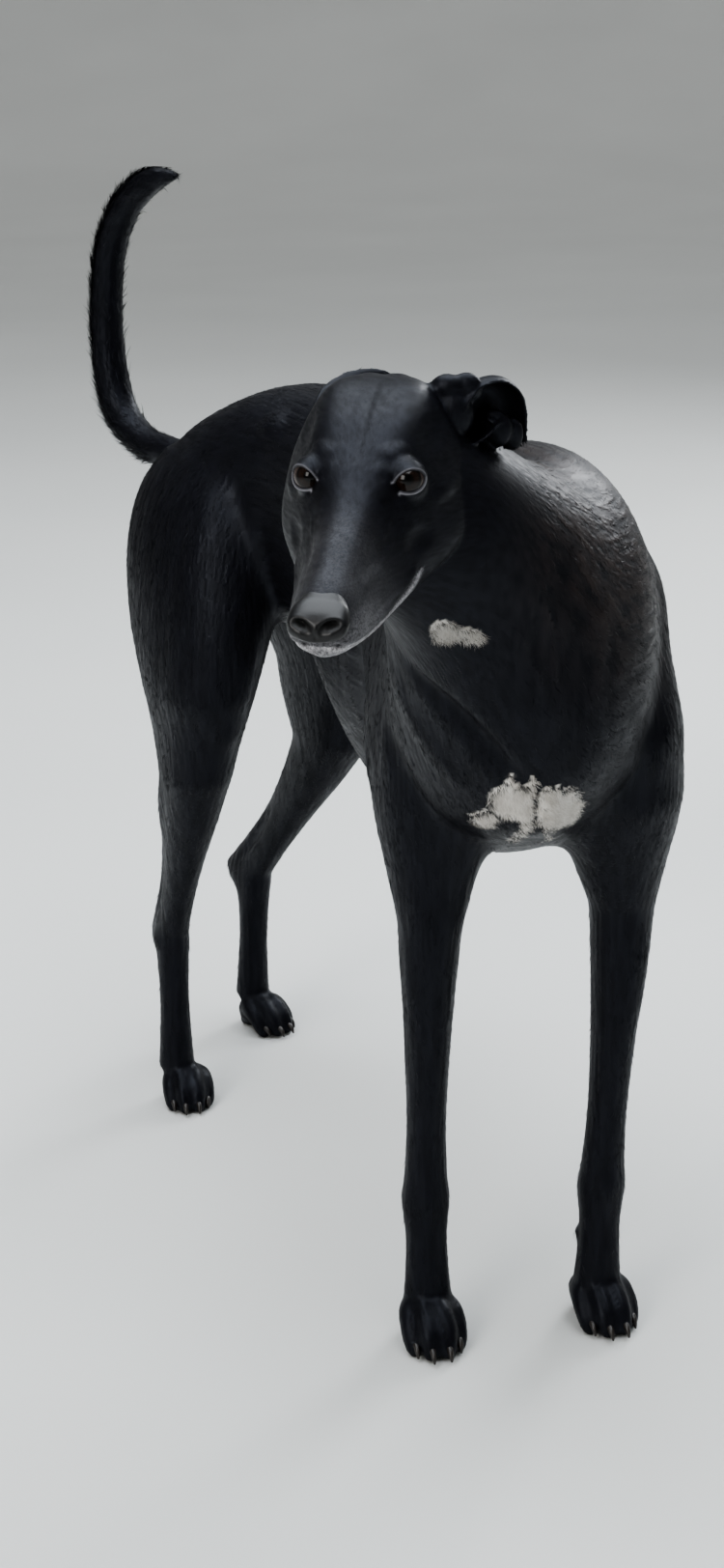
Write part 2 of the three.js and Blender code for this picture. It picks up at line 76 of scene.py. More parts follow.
# The shape's own sizes are in millimetres, in the frame of the straight dog: +Z up, nose to -Y.
# Trunk and neck: top outline y, z; bottom outline y, z; half-width; share of the depth from the top
# down to the widest place; squareness of the upper and of the lower half.
TRUNK = [
    (381, 606, 382, 588, 10, 0.5, 2.0, 2.0),
    (373, 623, 378, 572, 32, 0.5, 2.0, 2.0),
    (352, 643, 364, 552, 54, 0.48, 2.1, 1.9),
    (320, 664, 332, 530, 74, 0.46, 2.2, 1.9),
    (275, 685, 284, 500, 87, 0.46, 2.2, 1.9),
    (230, 698, 230, 482, 80, 0.46, 2.4, 2.0),
    (182, 701, 178, 480, 76, 0.46, 2.4, 2.0),
    (132, 700, 126, 450, 82, 0.48, 2.4, 2.0),
    (80, 696, 72, 408, 94, 0.5, 2.3, 1.95),
    (20, 693, 10, 372, 104, 0.5, 2.3, 1.9),
    (-45, 693, -60, 358, 108, 0.5, 2.3, 1.85),
    (-105, 700, -130, 374, 107, 0.5, 2.4, 1.85),
    (-150, 707, -200, 400, 105, 0.52, 2.4, 1.9),
    (-182, 710, -264, 428, 103, 0.55, 2.3, 2.0),
    (-206, 711, -312, 460, 98, 0.56, 2.2, 2.1),
    (-235, 710, -336, 500, 87, 0.56, 2.05, 2.2),
    (-268, 718, -356, 552, 75, 0.54, 2.0, 2.2),
    (-305, 734, -378, 598, 62, 0.52, 2.0, 2.1),
    (-345, 752, -405, 630, 54, 0.5, 2.0, 2.0),
    (-385, 768, -435, 650, 50, 0.5, 2.0, 2.0),
    (-412, 776, -458, 662, 46, 0.5, 2.0, 2.0),
]
# Where the spine heads in plan, in degrees towards the dog's right, along the straight dog's y.
SPINE_Y = (260, -160, -300, -430)
SPINE_HEADING = (-18, 15, 58, 78)
SPINE_START = (-10, 50)

# The neck is cut at this place along the rows above; the head, made finer, starts its neck a few rows
# before it, slimmer by so much towards the skull, and the work on either blends over the cut.
NECK_CUT_ROW = 16.5
HEAD_FIRST_ROW = 14
NECK_SLIMMING, NECK_SLIMMING_Y = 9, (-330, -410)
HEAD_BLEND = (-25, 45)

# The head's own frame: x to the dog's left, y to the back from between the eyes, z up. Each row:
# place along y; top z; half-width and z of the crown's edge, the widest place and the lower jaw's
# side; bottom z.
HEAD_AT = (-255, -350, 734)
HEAD_TURN = {"yaw": 38.5, "pitch": 12, "roll": 0.5}
HEAD_SECTIONS = [
    (108, 20, 8, 16, 14, 4, 10, -8, -12),
    (102, 30, 19, 24, 32, -4, 27, -25, -33),
    (88, 36, 30, 30, 50, -11, 46, -40, -54),
    (70, 38, 34, 32, 60, -18, 56, -52, -68),
    (50, 36, 33, 29, 59, -23, 58, -58, -76),
    (30, 31, 31, 23, 54, -26, 54, -61, -79),
    (12, 22.5, 29, 13, 47, -28, 47, -65, -80),
    (-5, 12.5, 24, 3.5, 40, -33, 40, -67, -80),
    (-20, 3, 19.5, -6.5, 34.5, -39, 36.5, -67, -79),
    (-40, -7, 16, -15.5, 30, -46, 32.5, -66, -77),
    (-60, -14, 14.5, -21.5, 27.5, -48, 29, -65, -76),
    (-80, -20, 14, -27, 25.5, -49, 25, -64.5, -75),
    (-98, -25, 13.5, -31, 23.5, -50, 20.5, -63, -72.5),
    (-110, -31, 12.5, -36, 19.5, -50, 16.5, -61, -69),
    (-116, -38, 9.5, -41, 14.5, -50, 11.5, -59, -65),
]
EYE_AT = (30.3, 7, -1.5)
EYE_TURN = {"yaw": 28, "pitch": -12}
# The opening between the lids: x towards the temple, z up.
LIDS = [(-10.8, -2.6), (-7.2, 3.8), (0, 6.9), (7.1, 5.2), (10.6, 0.3), (7.2, -4.9), (0.4, -6.9),
        (-6.6, -5.6)]
BROW_RADII = (14.5, 13.6, 13.6)
# The line of the mouth from under the nose back to the corner.
MOUTH = [(0, -121, -57), (11, -116, -58), (19, -104, -59), (24, -85, -60), (28.5, -62, -61),
         (34, -40, -61), (38, -22, -58), (39, -12, -54)]
# The nose leather: y, half-width, top z, bottom z.
NOSE = [(-96, 8, -29, -40), (-101, 12.5, -28, -44), (-106, 16, -28.5, -47), (-113, 18.6, -29.5, -50),
        (-120, 19, -32.5, -51.5), (-125, 17, -36.5, -51), (-128.5, 10, -41, -49.5)]
# Ears: middle of the back wall's curve, radius, half of the angle it goes round, way it opens.
EARS = {
    1: [
        (50, 84, -6, 10, 150, 0.4, -0.9, 0.1),
        (57, 87, 4, 15, 136, 0.45, -0.88, 0.05),
        (64, 91, 14, 17, 122, 0.5, -0.85, 0),
        (71, 96, 18, 16, 112, 0.5, -0.85, -0.1),
        (77, 101, 12, 14.5, 104, 0.55, -0.75, -0.25),
        (81, 106, 0, 13, 96, 0.65, -0.65, -0.25),
        (84, 109, -12, 10.5, 90, 0.7, -0.6, -0.2),
        (87, 111, -21, 6, 84, 0.7, -0.6, -0.2),
    ],
    -1: [
        (42, 80, 1, 12, 150, 0.75, -0.65, 0.1),
        (43, 92, 8, 13.5, 125, 0.85, -0.4, 0.1),
        (39, 104, 13, 13.5, 110, 0.85, 0, 0.1),
        (31, 114, 17, 12.5, 100, 0.6, 0.6, 0.2),
        (20, 121, 20, 10.5, 92, 0.3, 0.9, 0.2),
        (8, 124, 21.5, 8, 88, 0.2, 0.9, 0.2),
        (-1, 125, 21, 4, 84, 0.2, 0.9, 0.2),
    ],
}
# The root of the left ear, the fold of its front edge and the filled hollow: place, radii.
EAR_ROOT = [((47, 84, 12), (14, 12, 18)), ((43, 85, 29), (12, 8, 10)), ((55, 88, 28), (11, 7, 11)),
            ((70, 100, -4), (13, 6, 14)), ((80, 107, -10), (9, 5, 12))]
EAR_THICKNESS = 2.8

# Limbs stand on level sections along their joints: place along the joints (1.5 is half way down the
# second bone), then reach to the front, back, outer and inner side, and squareness front and back.
FRONT_SECTIONS = [
    (0, 34, 50, 20, 30, 2, 2),
    (0.2, 52, 70, 34, 30, 2, 2),
    (0.5, 66, 86, 36, 34, 2, 2),
    (0.8, 64, 92, 40, 44, 2, 2),
    (1.1, 54, 84, 40, 54, 2, 2),
    (1.4, 44, 68, 37, 60, 2, 2),
    (1.55, 39, 61, 34, 51, 2, 2),
    (1.7, 34, 54, 31, 42, 2, 2),
    (2.0, 28, 42, 25, 28, 2, 2),
    (2.15, 27, 33, 23.5, 24, 2, 2),
    (2.4, 23, 25, 19.5, 19.5, 2, 2),
    (2.7, 18, 18, 16.5, 16.5, 2, 2),
    (2.9, 17, 17, 18, 18, 2, 2),
    (3.0, 18, 20, 20, 20, 2.2, 2),
    (3.15, 17, 21, 19, 19, 2.2, 2),
    (3.4, 15, 16, 17.5, 17.5, 2.2, 2),
    (3.75, 16, 17, 18.5, 18.5, 2.2, 2),
    (4.0, 18, 18, 20, 20, 2.2, 2),
]
HIND_SECTIONS = [
    (0, 34, 74, 28, 34, 2, 2.1),
    (0.15, 56, 105, 43, 46, 2, 2.2),
    (0.35, 64, 117, 52, 54, 2, 2.2),
    (0.6, 64, 114, 50, 50, 2, 2.1),
    (0.8, 54, 98, 44, 41, 2, 2),
    (1.0, 44, 75, 35, 34, 2, 2),
    (1.2, 34, 56, 29, 29, 2, 2),
    (1.4, 31, 44, 24, 23, 2, 2),
    (1.6, 25, 38, 19, 18, 2, 1.9),
    (1.8, 21, 41, 15.5, 15.5, 2, 1.8),
    (1.93, 20, 45, 15.5, 15.5, 2, 1.8),
    (2.04, 20, 41, 17, 17, 2, 1.9),
    (2.2, 17, 22, 16, 16, 2, 2),
    (2.5, 15, 17, 15, 15, 2, 2),
    (2.8, 16, 18, 16.5, 16.5, 2, 2),
    (3.0, 17, 18, 18, 18, 2, 2),
]
# Joints on the straight dog for the first two of each leg, in the standing dog's place below them.
LEGS = {
    "front_right": {
        "sign": -1, "high": [(-72, -165, 640), (-74, -215, 480)],
        "low": [(-121, -184, 355), (-124, -180, 118), (-125, -184, 34)],
        "headings": (20, 20, 20, 15, 12), "sections": FRONT_SECTIONS,
        "paw": {"at": (-125, -183, 0), "yaw": 14, "size": 0.92},
    },
    "front_left": {
        "sign": 1, "high": [(72, -165, 640), (84, -215, 480)],
        "low": [(27, -224, 355), (12, -222, 118), (8, -224, 34)],
        "headings": (20, 20, 20, 15, 12), "sections": FRONT_SECTIONS,
        "paw": {"at": (11, -216, 0), "yaw": 8, "size": 0.92},
    },
    "hind_right": {
        "sign": -1, "high": [(-50, 268, 640), (-104, 242, 392)],
        "low": [(-136, 322, 168), (-141, 312, 34)],
        "headings": (-16, -8, 4, 10), "sections": HIND_SECTIONS,
        "paw": {"at": (-133, 312, 0), "yaw": 14, "size": 0.86},
    },
    "hind_left": {
        "sign": 1, "high": [(50, 268, 640), (82, 244, 378)],
        "low": [(0, 436, 168), (-5, 440, 34)],
        "headings": (-16, -18, -14, -14), "sections": HIND_SECTIONS,
        "paw": {"at": (-3, 436, 0), "yaw": -16, "size": 0.86},
    },
}
# Toes of one paw in its own frame: root, knuckle, last joint, tip.
TOES = [
    [(-11, 4, 26), (-17.5, -12, 27), (-19.5, -27, 17), (-19, -35, 6)],
    [(-5, 4, 28), (-6.5, -20, 33), (-7.5, -39, 21), (-7.5, -47, 7)],
    [(5, 4, 28), (6.5, -20, 33), (7.5, -39, 21), (7.5, -47, 7)],
    [(11, 4, 26), (17.5, -12, 27), (19.5, -27, 17), (19, -35, 6)],
]
TOE_RADII = (12, 11, 9.8, 8.2)
TOE_TIP_RADIUS = 7.6
# The back of a paw and its pad: place, radii.
PAW_BALLS = [((0, 0, 19), (22, 19, 17)), ((0, 5, 7), (18, 15, 8))]
# A claw out of a toe's tip: y from the tip and height, radius there.
CLAW = [(2, 12, 3.0), (-5, 12, 2.7), (-10, 8.5, 2.0), (-12.5, 3.6, 0.7)]
# Tail: places on the straight dog, and the radius there.
TAIL = [(322, 606, 24), (362, 612, 19), (402, 616, 15.5), (440, 622, 15.5), (474, 647, 16.5),
        (488, 694, 16), (488, 748, 15.5), (478, 798, 15), (452, 838, 14.5), (414, 862, 12.5),
        (378, 868, 5)]
# Fineness of the rings: points round one, rings from row to row.
TRUNK_DETAIL, NECK_DETAIL, SKULL_DETAIL, LIMB_DETAIL = (96, 6), (96, 8), (72, 6), (40, 5)


# Numbers and frames.

def blend(rows, s):
    """Rows of numbers, blended smoothly at each place s along them."""
    rows = np.asarray(rows, float)
    last = len(rows) - 1
    s = np.atleast_1d(np.asarray(s, float))
    i = np.minimum(np.floor(s).astype(int), last - 1)
    t = (s - i)[:, None]
    a, b, c, d = (rows[np.clip(i + k, 0, last)] for k in (-1, 0, 1, 2))
    return 0.5 * (2 * b + (c - a) * t + (2 * a - 5 * b + 4 * c - d) * t**2
                  + (3 * b - a - 3 * c + d) * t**3)


def turned(yaw=0, pitch=0, roll=0):
    """Rotation of a frame whose nose heads to yaw degrees towards the dog's right."""
    turn = (Matrix.Rotation(math.radians(-yaw), 3, "Z") @ Matrix.Rotation(math.radians(roll), 3, "Y")
            @ Matrix.Rotation(math.radians(pitch), 3, "X"))
    return np.array(turn)


HEAD_R = turned(**HEAD_TURN)


def in_head(points):
    """Points of the head's own frame, on the standing dog."""
    return np.asarray(points, float) @ HEAD_R.T + np.array(HEAD_AT)


def to_head(points):
    """Points of the standing dog, in the head's own frame."""
    return (np.asarray(points, float) - np.array(HEAD_AT)) @ HEAD_R


def eye_frame(side):
    """Rotation and centre of one eye in the head's frame."""
    turn = turned(yaw=-side * EYE_TURN["yaw"], pitch=EYE_TURN["pitch"])
    return turn, np.array((side * EYE_AT[0], EYE_AT[1], EYE_AT[2]), float)


SPINE_TABLE_Y = np.arange(-560.0, 561.0)


def spine_heading(y):
    """The way the spine heads at y of the straight dog, in radians."""
    return np.radians(np.interp(-np.asarray(y, float), [-v for v in SPINE_Y], SPINE_HEADING))


def spine_table():
    """Plan position of the spine for each y of the straight dog."""
    h = spine_heading(SPINE_TABLE_Y)
    x = np.concatenate([[0], np.cumsum((np.sin(h[1:]) + np.sin(h[:-1])) / 2)])
    y = np.concatenate([[0], np.cumsum((np.cos(h[1:]) + np.cos(h[:-1])) / 2)])
    x += SPINE_START[0] - np.interp(SPINE_START[1], SPINE_TABLE_Y, x)
    y += SPINE_START[1] - np.interp(SPINE_START[1], SPINE_TABLE_Y, y)
    return x, y


SPINE_TABLE = spine_table()


def bend(points):
    """Points of the straight dog, carried round the bent spine."""
    p = np.atleast_2d(np.asarray(points, float))
    x = np.interp(p[:, 1], SPINE_TABLE_Y, SPINE_TABLE[0])
    y = np.interp(p[:, 1], SPINE_TABLE_Y, SPINE_TABLE[1])
    h = spine_heading(p[:, 1])
    return np.stack([x + p[:, 0] * np.cos(h), y - p[:, 0] * np.sin(h), p[:, 2]], 1)


def straight(points):
    """Points of the standing dog, carried back to the straight one."""
    y = points[:, 1].copy()
    for _ in range(25):
        h = spine_heading(y)
        dx = points[:, 0] - np.interp(y, SPINE_TABLE_Y, SPINE_TABLE[0])
        dy = points[:, 1] - np.interp(y, SPINE_TABLE_Y, SPINE_TABLE[1])
        y = y + 0.7 * (dx * np.sin(h) + dy * np.cos(h))
    return np.stack([dx * np.cos(h) - dy * np.sin(h), y, points[:, 2]], 1)


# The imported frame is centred; an eye tells how far it was shifted.
EYE_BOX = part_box("eye_left")
SHIFT = np.array([(a + b) / 2 / MM for a, b in zip(*EYE_BOX)]) - in_head([EYE_AT])[0]
SHIFT[2] = 0


def metres(points):
    """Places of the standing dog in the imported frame."""
    return (np.asarray(points, float) + SHIFT) * MM


def unit(v):
    """Vectors brought to length 1."""
    v = np.asarray(v, float)
    return v / np.maximum(np.linalg.norm(v, axis=-1, keepdims=True), 1e-9)


def soft(low, high, value):
    """0 at low and 1 at high with a soft step between; low may be the larger."""
    t = np.clip((np.asarray(value, float) - low) / (high - low), 0, 1)
    return t * t * (3 - 2 * t)


# Closed bodies from rings.

class Form:
    """Points, faces and the lie of the coat at each point."""

    def __init__(self):
        self.points, self.faces, self.lie, self.size = [], [], [], 0

    def add(self, points, faces, lie):
        self.points.append(points)
        self.faces += [tuple(i + self.size for i in f) for f in faces]
        self.lie.append(lie)
        self.size += len(points)

    def rings(self, rings, lie_sign=1):
        """Rings (n, around, 3) as one closed body; the coat lies along them, or not by it for 0."""
        n, around = rings.shape[:2]
        faces = []
        for i in range(n - 1):
            for j in range(around):
                k = (j + 1) % around
                faces.append((i * around + j, i * around + k, (i + 1) * around + k, (i + 1) * around + j))
        faces.append(tuple(range(around))[::-1])
        faces.append(tuple(range((n - 1) * around, n * around)))
        lie = unit(np.gradient(rings, axis=0)) * lie_sign
        self.add(rings.reshape(-1, 3), faces, lie.reshape(-1, 3))


def superellipse(centre, side, up, left, right, top, bottom, n_top, n_bottom, around):
    """Rings with their own half-widths each way; every argument is one value for each ring."""
    a = np.linspace(0, 2 * np.pi, around, endpoint=False)
    c, s = np.cos(a)[None], np.sin(a)[None]
    power = np.where(s > 0, 2 / n_top[:, None], 2 / n_bottom[:, None])
    x = np.where(c > 0, left[:, None], right[:, None]) * np.sign(c) * np.abs(c) ** power
    y = np.where(s > 0, top[:, None], bottom[:, None]) * np.sign(s) * np.abs(s) ** power
    return centre[:, None] + x[..., None] * side[:, None] + y[..., None] * up[:, None]


def trunk_rings(around, along, first=0, slimming=0):
    """slimming narrows the neck to the skull, where the cheeks stand out from it."""
    last = len(TRUNK) - 1
    rows = blend(TRUNK, np.linspace(first, last, (last - first) * along + 1))
    rows[:, 4] -= slimming * soft(*NECK_SLIMMING_Y, rows[:, 0])
    top = np.stack([0 * rows[:, 0], rows[:, 0], rows[:, 1]], 1)
    bottom = np.stack([0 * rows[:, 0], rows[:, 2], rows[:, 3]], 1)
    depth = np.linalg.norm(top - bottom, axis=1)
    wide = rows[:, 5]
    centre = top + (bottom - top) * wide[:, None]
    side = np.tile([1.0, 0, 0], (len(rows), 1))
    rings = superellipse(centre, side, unit(top - bottom), rows[:, 4], rows[:, 4], wide * depth,
                         (1 - wide) * depth, rows[:, 6], rows[:, 7], around)
    return bend(rings.reshape(-1, 3)).reshape(rings.shape)


def spline(points, count, closed=False):
    """A smooth line through points, at count places."""
    p = np.asarray(points, float)
    if closed:
        p = np.concatenate([p[-1:], p, p[:2]])
        return blend(p, np.linspace(1, len(p) - 2, count, endpoint=False))
    return blend(p, np.linspace(0, len(p) - 1, count))


def head_rings(around, along):
    """Skull, muzzle and jaw, from the back of the head to the lips."""
    last = len(HEAD_SECTIONS) - 1
    rows = blend(HEAD_SECTIONS, np.linspace(0, last, last * along + 1))
    rings = []
    for y, top, w1, z1, w2, z2, w3, z3, bottom in rows:
        outline = [(0, y, top), (w1, y, z1), (w2, y, z2), (w3, y, z3), (0, y, bottom), (-w3, y, z3),
                   (-w2, y, z2), (-w1, y, z1)]
        rings.append(spline(outline, around, closed=True))
    rings = np.array(rings)
    return in_head(rings.reshape(-1, 3)).reshape(rings.shape)


def limb_rings(leg, around, along):
    """One leg from its root in the trunk down to the paw."""
    joints = np.concatenate([bend(leg["high"]), np.array(leg["low"], float)])
    sections = leg["sections"]
    rows = blend(sections, np.linspace(0, len(sections) - 1, (len(sections) - 1) * along + 1))
    place = np.clip(rows[:, 0], 0, len(joints) - 1)
    count = np.arange(len(joints))
    # Flesh rounds the bend at the second joint: the middle averages the path a little either way.
    slack = 0.22 * np.exp(-((place - 1) / 0.35) ** 2)
    before, behind = (np.stack([np.interp(at, count, joints[:, k]) for k in range(3)], 1)
                      for at in (place - slack, place + slack))
    centre = (before + behind) / 2
    h = np.radians(np.interp(place, count, leg["headings"]))
    sign = leg["sign"]
    out = np.stack([sign * np.cos(h), -sign * np.sin(h), 0 * h], 1)
    fore = np.stack([-np.sin(h), -np.cos(h), 0 * h], 1)
    _, front, back, outer, inner, n_front, n_back = rows.T
    return superellipse(centre, out, fore, outer, inner, front, back, n_front, n_back, around)


def rod_rings(points, radii, around, steps):
    """A round rod along points, its sides carried along without a twist."""
    centre = blend(points, np.linspace(0, len(points) - 1, steps))
    radius = blend([(r,) for r in radii], np.linspace(0, len(points) - 1, steps))[:, 0]
    along = unit(np.gradient(centre, axis=0))
    side = np.cross(along[0], (0.3, 0.5, 0.8))
    sides = []
    for t in along:
        side = unit(side - t * (side @ t))
        sides.append(side)
    sides = np.array(sides)
    up = np.cross(along, sides)
    two = np.full(steps, 2.0)
    return superellipse(centre, sides, up, radius, radius, radius, radius, two, two, around)


def ball_rings(centre, radii, turn=None, around=20):
    """An ellipsoid as rings from end to end."""
    a = np.linspace(0.08, math.pi - 0.08, around // 2)
    b = np.linspace(0, 2 * math.pi, around, endpoint=False)
    x = np.sin(a)[:, None] * np.cos(b)[None]
    y = np.sin(a)[:, None] * np.sin(b)[None]
    z = np.cos(a)[:, None] + 0 * x
    rings = np.stack([x, y, z], -1) * np.array(radii, float)
    if turn is not None:
        rings = rings @ turn.T
    return rings + np.array(centre, float)


def ear_rings(side, arc=13, along=5):
    """A cupped ear: round its outside and back along its inside."""
    rows = np.array(EARS[side], float)
    at = np.linspace(0, len(rows) - 1, (len(rows) - 1) * along + 1)
    rows = blend(rows, at)
    path = rows[:, :3] * (side, 1, 1)
    along_path = unit(np.gradient(path, axis=0))
    opening = rows[:, 5:] * (side, 1, 1)
    opening = unit(opening - along_path * (opening * along_path).sum(1, keepdims=True))
    across = np.cross(along_path, opening)
    r, half = rows[:, 3], np.radians(rows[:, 4])
    thick = np.minimum(EAR_THICKNESS, r * 0.6)
    rings = []
    for angles, radius in ((np.linspace(-1, 1, arc), r), (np.linspace(0.94, -0.94, arc), r - thick)):
        angle = half[:, None] * angles[None]
        ring = (path[:, None] - opening[:, None] * (np.cos(angle) * radius[:, None])[..., None]
                + across[:, None] * (np.sin(angle) * radius[:, None])[..., None])
        rings.append(ring)
    rings = np.concatenate(rings, 1)
    return in_head(rings.reshape(-1, 3)).reshape(rings.shape)


def paw_frame(paw):
    """What carries points of the paw's own frame to its place."""
    turn = turned(yaw=paw["yaw"])
    return lambda points: (np.asarray(points, float) * paw["size"]) @ turn.T + np.array(paw["at"], float)


def body_form():
    """Trunk, legs, paws and tail, which run into one another."""
    form = Form()
    form.rings(trunk_rings(*TRUNK_DETAIL), -1)
    for leg in LEGS.values():
        form.rings(limb_rings(leg, *LIMB_DETAIL))
        place = paw_frame(leg["paw"])
        size, turn = leg["paw"]["size"], turned(yaw=leg["paw"]["yaw"])
        for at, (wide, long, high) in PAW_BALLS:
            form.rings(ball_rings(place([at])[0], (wide * size, long, high), turn), 0)
        for toe in TOES:
            form.rings(rod_rings(place(toe), [r * size for r in TOE_RADII], 16, 14))
            form.rings(ball_rings(place([toe[-1]])[0], [TOE_TIP_RADIUS * size] * 3, turn, 12), 0)
    tail = bend([(0, y, z) for y, z, r in TAIL])
    form.rings(rod_rings(tail, [r for y, z, r in TAIL], 28, 90))
    return form


def head_form():
    """Neck, head, ears and brows, fused finer than the body."""
    form = Form()
    form.rings(trunk_rings(*NECK_DETAIL, first=HEAD_FIRST_ROW, slimming=NECK_SLIMMING), -1)
    form.rings(head_rings(*SKULL_DETAIL)[::-1])
    for side in (1, -1):
        form.rings(ear_rings(side))
        turn, centre = eye_frame(side)
        form.rings(ball_rings(in_head([centre])[0], BROW_RADII, HEAD_R @ turn, 32), 0)
    for place, radii in EAR_ROOT:
        form.rings(ball_rings(in_head([place])[0], radii, HEAD_R, 24), 0)
    return form


# Meshes and arrays.

def mesh_object(name, points, faces):
    """A new object in the scene."""
    mesh = bpy.data.meshes.new(name)
    mesh.from_pydata(np.asarray(points, float).tolist(), [], [tuple(f) for f in faces])
    mesh.update()
    made = bpy.data.objects.new(name, mesh)
    bpy.context.scene.collection.objects.link(made)
    return made


def fused(form, voxel, name):
    """One closed surface round everything in a form, as a bmesh in millimetres."""
    raw = mesh_object(name, np.concatenate(form.points), form.faces)
    remesh = raw.modifiers.new("fuse", "REMESH")
    remesh.mode = "VOXEL"
    remesh.voxel_size = voxel
    remesh.adaptivity = 0
    graph = bpy.context.evaluated_depsgraph_get()
    made = bmesh.new()
    made.from_mesh(raw.evaluated_get(graph).to_mesh())
    bpy.data.objects.remove(raw, do_unlink=True)
    return made


def rim_loop(work, normal):
    """The open edge that a cut left, in order round the cut, and each point's angle."""
    work.verts.index_update()
    rim = [v for v in work.verts if v.is_boundary]
    at = np.array([v.co for v in rim])
    across = unit(np.cross(normal, (0, 0, 1)))
    high = np.cross(normal, across)
    middle = at.mean(0)
    angles = np.arctan2((at - middle) @ high, (at - middle) @ across)
    order = np.argsort(angles)
    return [rim[i].index for i in order], angles[order]


def cut_off(work, point, normal):
    """Keeps what lies behind the plane."""
    bmesh.ops.bisect_plane(work, geom=work.verts[:] + work.edges[:] + work.faces[:], plane_co=point,
                           plane_no=normal, clear_outer=True, dist=1e-4)


def largest(work):
    """Drops every scrap but the largest piece."""
    work.verts.ensure_lookup_table()
    seen, best = set(), []
    for start in work.verts:
        if start in seen:
            continue
        waiting, group = [start], []
        seen.add(start)
        while waiting:
            v = waiting.pop()
            group.append(v)
            for e in v.link_edges:
                o = e.other_vert(v)
                if o not in seen:
                    seen.add(o)
                    waiting.append(o)
        if len(group) > len(best):
            best = group
    keep = set(best)
    bmesh.ops.delete(work, geom=[v for v in work.verts if v not in keep], context="VERTS")


def arrays(work):
    """Points and faces of a bmesh."""
    work.verts.index_update()
    return np.array([v.co for v in work.verts], float), [[v.index for v in f.verts] for f in work.faces]


def zipped(body, head, normal):
    """Joins the two cut surfaces along their rims, which lie on one another."""
    loop_a, angle_a = rim_loop(body, normal)
    loop_b, angle_b = rim_loop(head, normal)
    points_a, faces_a = arrays(body)
    points_b, faces_b = arrays(head)
    shift = len(points_a)
    faces = faces_a + [[i + shift for i in f] for f in faces_b]
    loop_b = [i + shift for i in loop_b]
    i = j = 0
    na, nb = len(loop_a), len(loop_b)
    while i < na or j < nb:
        next_a = angle_a[(i + 1) % na] + (2 * math.pi if i + 1 >= na else 0)
        next_b = angle_b[(j + 1) % nb] + (2 * math.pi if j + 1 >= nb else 0)
        if j >= nb or (i < na and next_a <= next_b):
            faces.append([loop_a[i % na], loop_a[(i + 1) % na], loop_b[j % nb]])
            i += 1
        else:
            faces.append([loop_a[i % na], loop_b[(j + 1) % nb], loop_b[j % nb]])
            j += 1
    return np.concatenate([points_a, points_b]), faces


class Surface:
    """The skin while it is worked on, in millimetres: points, edges and faces."""

    def __init__(self, points, faces):
        self.mesh = bpy.data.meshes.new("working")
        self.mesh.from_pydata(points.tolist(), [], faces)
        work = bmesh.new()
        work.from_mesh(self.mesh)
        bmesh.ops.recalc_face_normals(work, faces=work.faces[:])
        work.to_mesh(self.mesh)
        work.free()
        self.read()

    def read(self):
        mesh = self.mesh
        self.points = np.empty(len(mesh.vertices) * 3)
        mesh.vertices.foreach_get("co", self.points)
        self.points = self.points.reshape(-1, 3)
        self.edges = np.empty(len(mesh.edges) * 2, np.int64)
        mesh.edges.foreach_get("vertices", self.edges)
        self.edges = self.edges.reshape(-1, 2)
        self.count = np.bincount(self.edges.ravel(), minlength=len(self.points))

    def write(self):
        self.mesh.vertices.foreach_set("co", self.points.ravel())
        self.mesh.update()

    def normals(self):
        self.write()
        out = np.empty(len(self.points) * 3)
        self.mesh.vertex_normals.foreach_get("vector", out)
        return out.reshape(-1, 3)

    def averages(self, values):
        a, b = self.edges.T
        n = len(values)
        total = np.stack([np.bincount(a, values[b, k], n) + np.bincount(b, values[a, k], n)
                          for k in range(values.shape[1])], 1)
        return total / np.maximum(self.count, 1)[:, None]

    def relax(self, weight, rounds, swell=0.0):
        """Smooths by weight; swell gives back what smoothing takes from rounded forms."""
        weight = np.broadcast_to(weight, len(self.points))
        moving = weight > 1e-3
        ends = self.edges[moving[self.edges].any(1)]
        names, place = np.unique(ends, return_inverse=True)
        a, b = place.reshape(ends.shape).T
        n, points, count = len(names), self.points[names], self.count[names][:, None]
        share = np.where(moving, weight, 0)[names][:, None]

        def pull():
            total = np.stack([np.bincount(a, points[b, k], n) + np.bincount(b, points[a, k], n)
                              for k in range(3)], 1)
            return share * (total / count - points)
        for _ in range(rounds):
            points += pull()
            if swell:
                points -= swell * pull()
        self.points[names] = points

    def refine(self, chosen):
        """Halves the edges of the faces whose points are all chosen."""
        self.write()
        work = bmesh.new()
        work.from_mesh(self.mesh)
        work.verts.ensure_lookup_table()
        edges = {e for f in work.faces if all(chosen[v.index] for v in f.verts) for e in f.edges}
        bmesh.ops.subdivide_edges(work, edges=list(edges), cuts=1, use_grid_fill=True, smooth=0.0)
        bmesh.ops.triangulate(work, faces=[f for f in work.faces if len(f.verts) > 4])
        work.to_mesh(self.mesh)
        work.free()
        self.read()


def knead(surface, rows, frame_of, normals=None):
    """Raises or presses the surface: rows of place, radii and depth in one local frame."""
    local = frame_of(surface.points)
    move = np.zeros(len(local))
    for x, y, z, rx, ry, rz, depth in rows:
        d = (((local - (x, y, z)) / (rx, ry, rz)) ** 2).sum(1)
        move += depth * np.where(d < 1, (1 - d) ** 2, 0)
    normals = surface.normals() if normals is None else normals
    surface.points += normals * move[:, None]


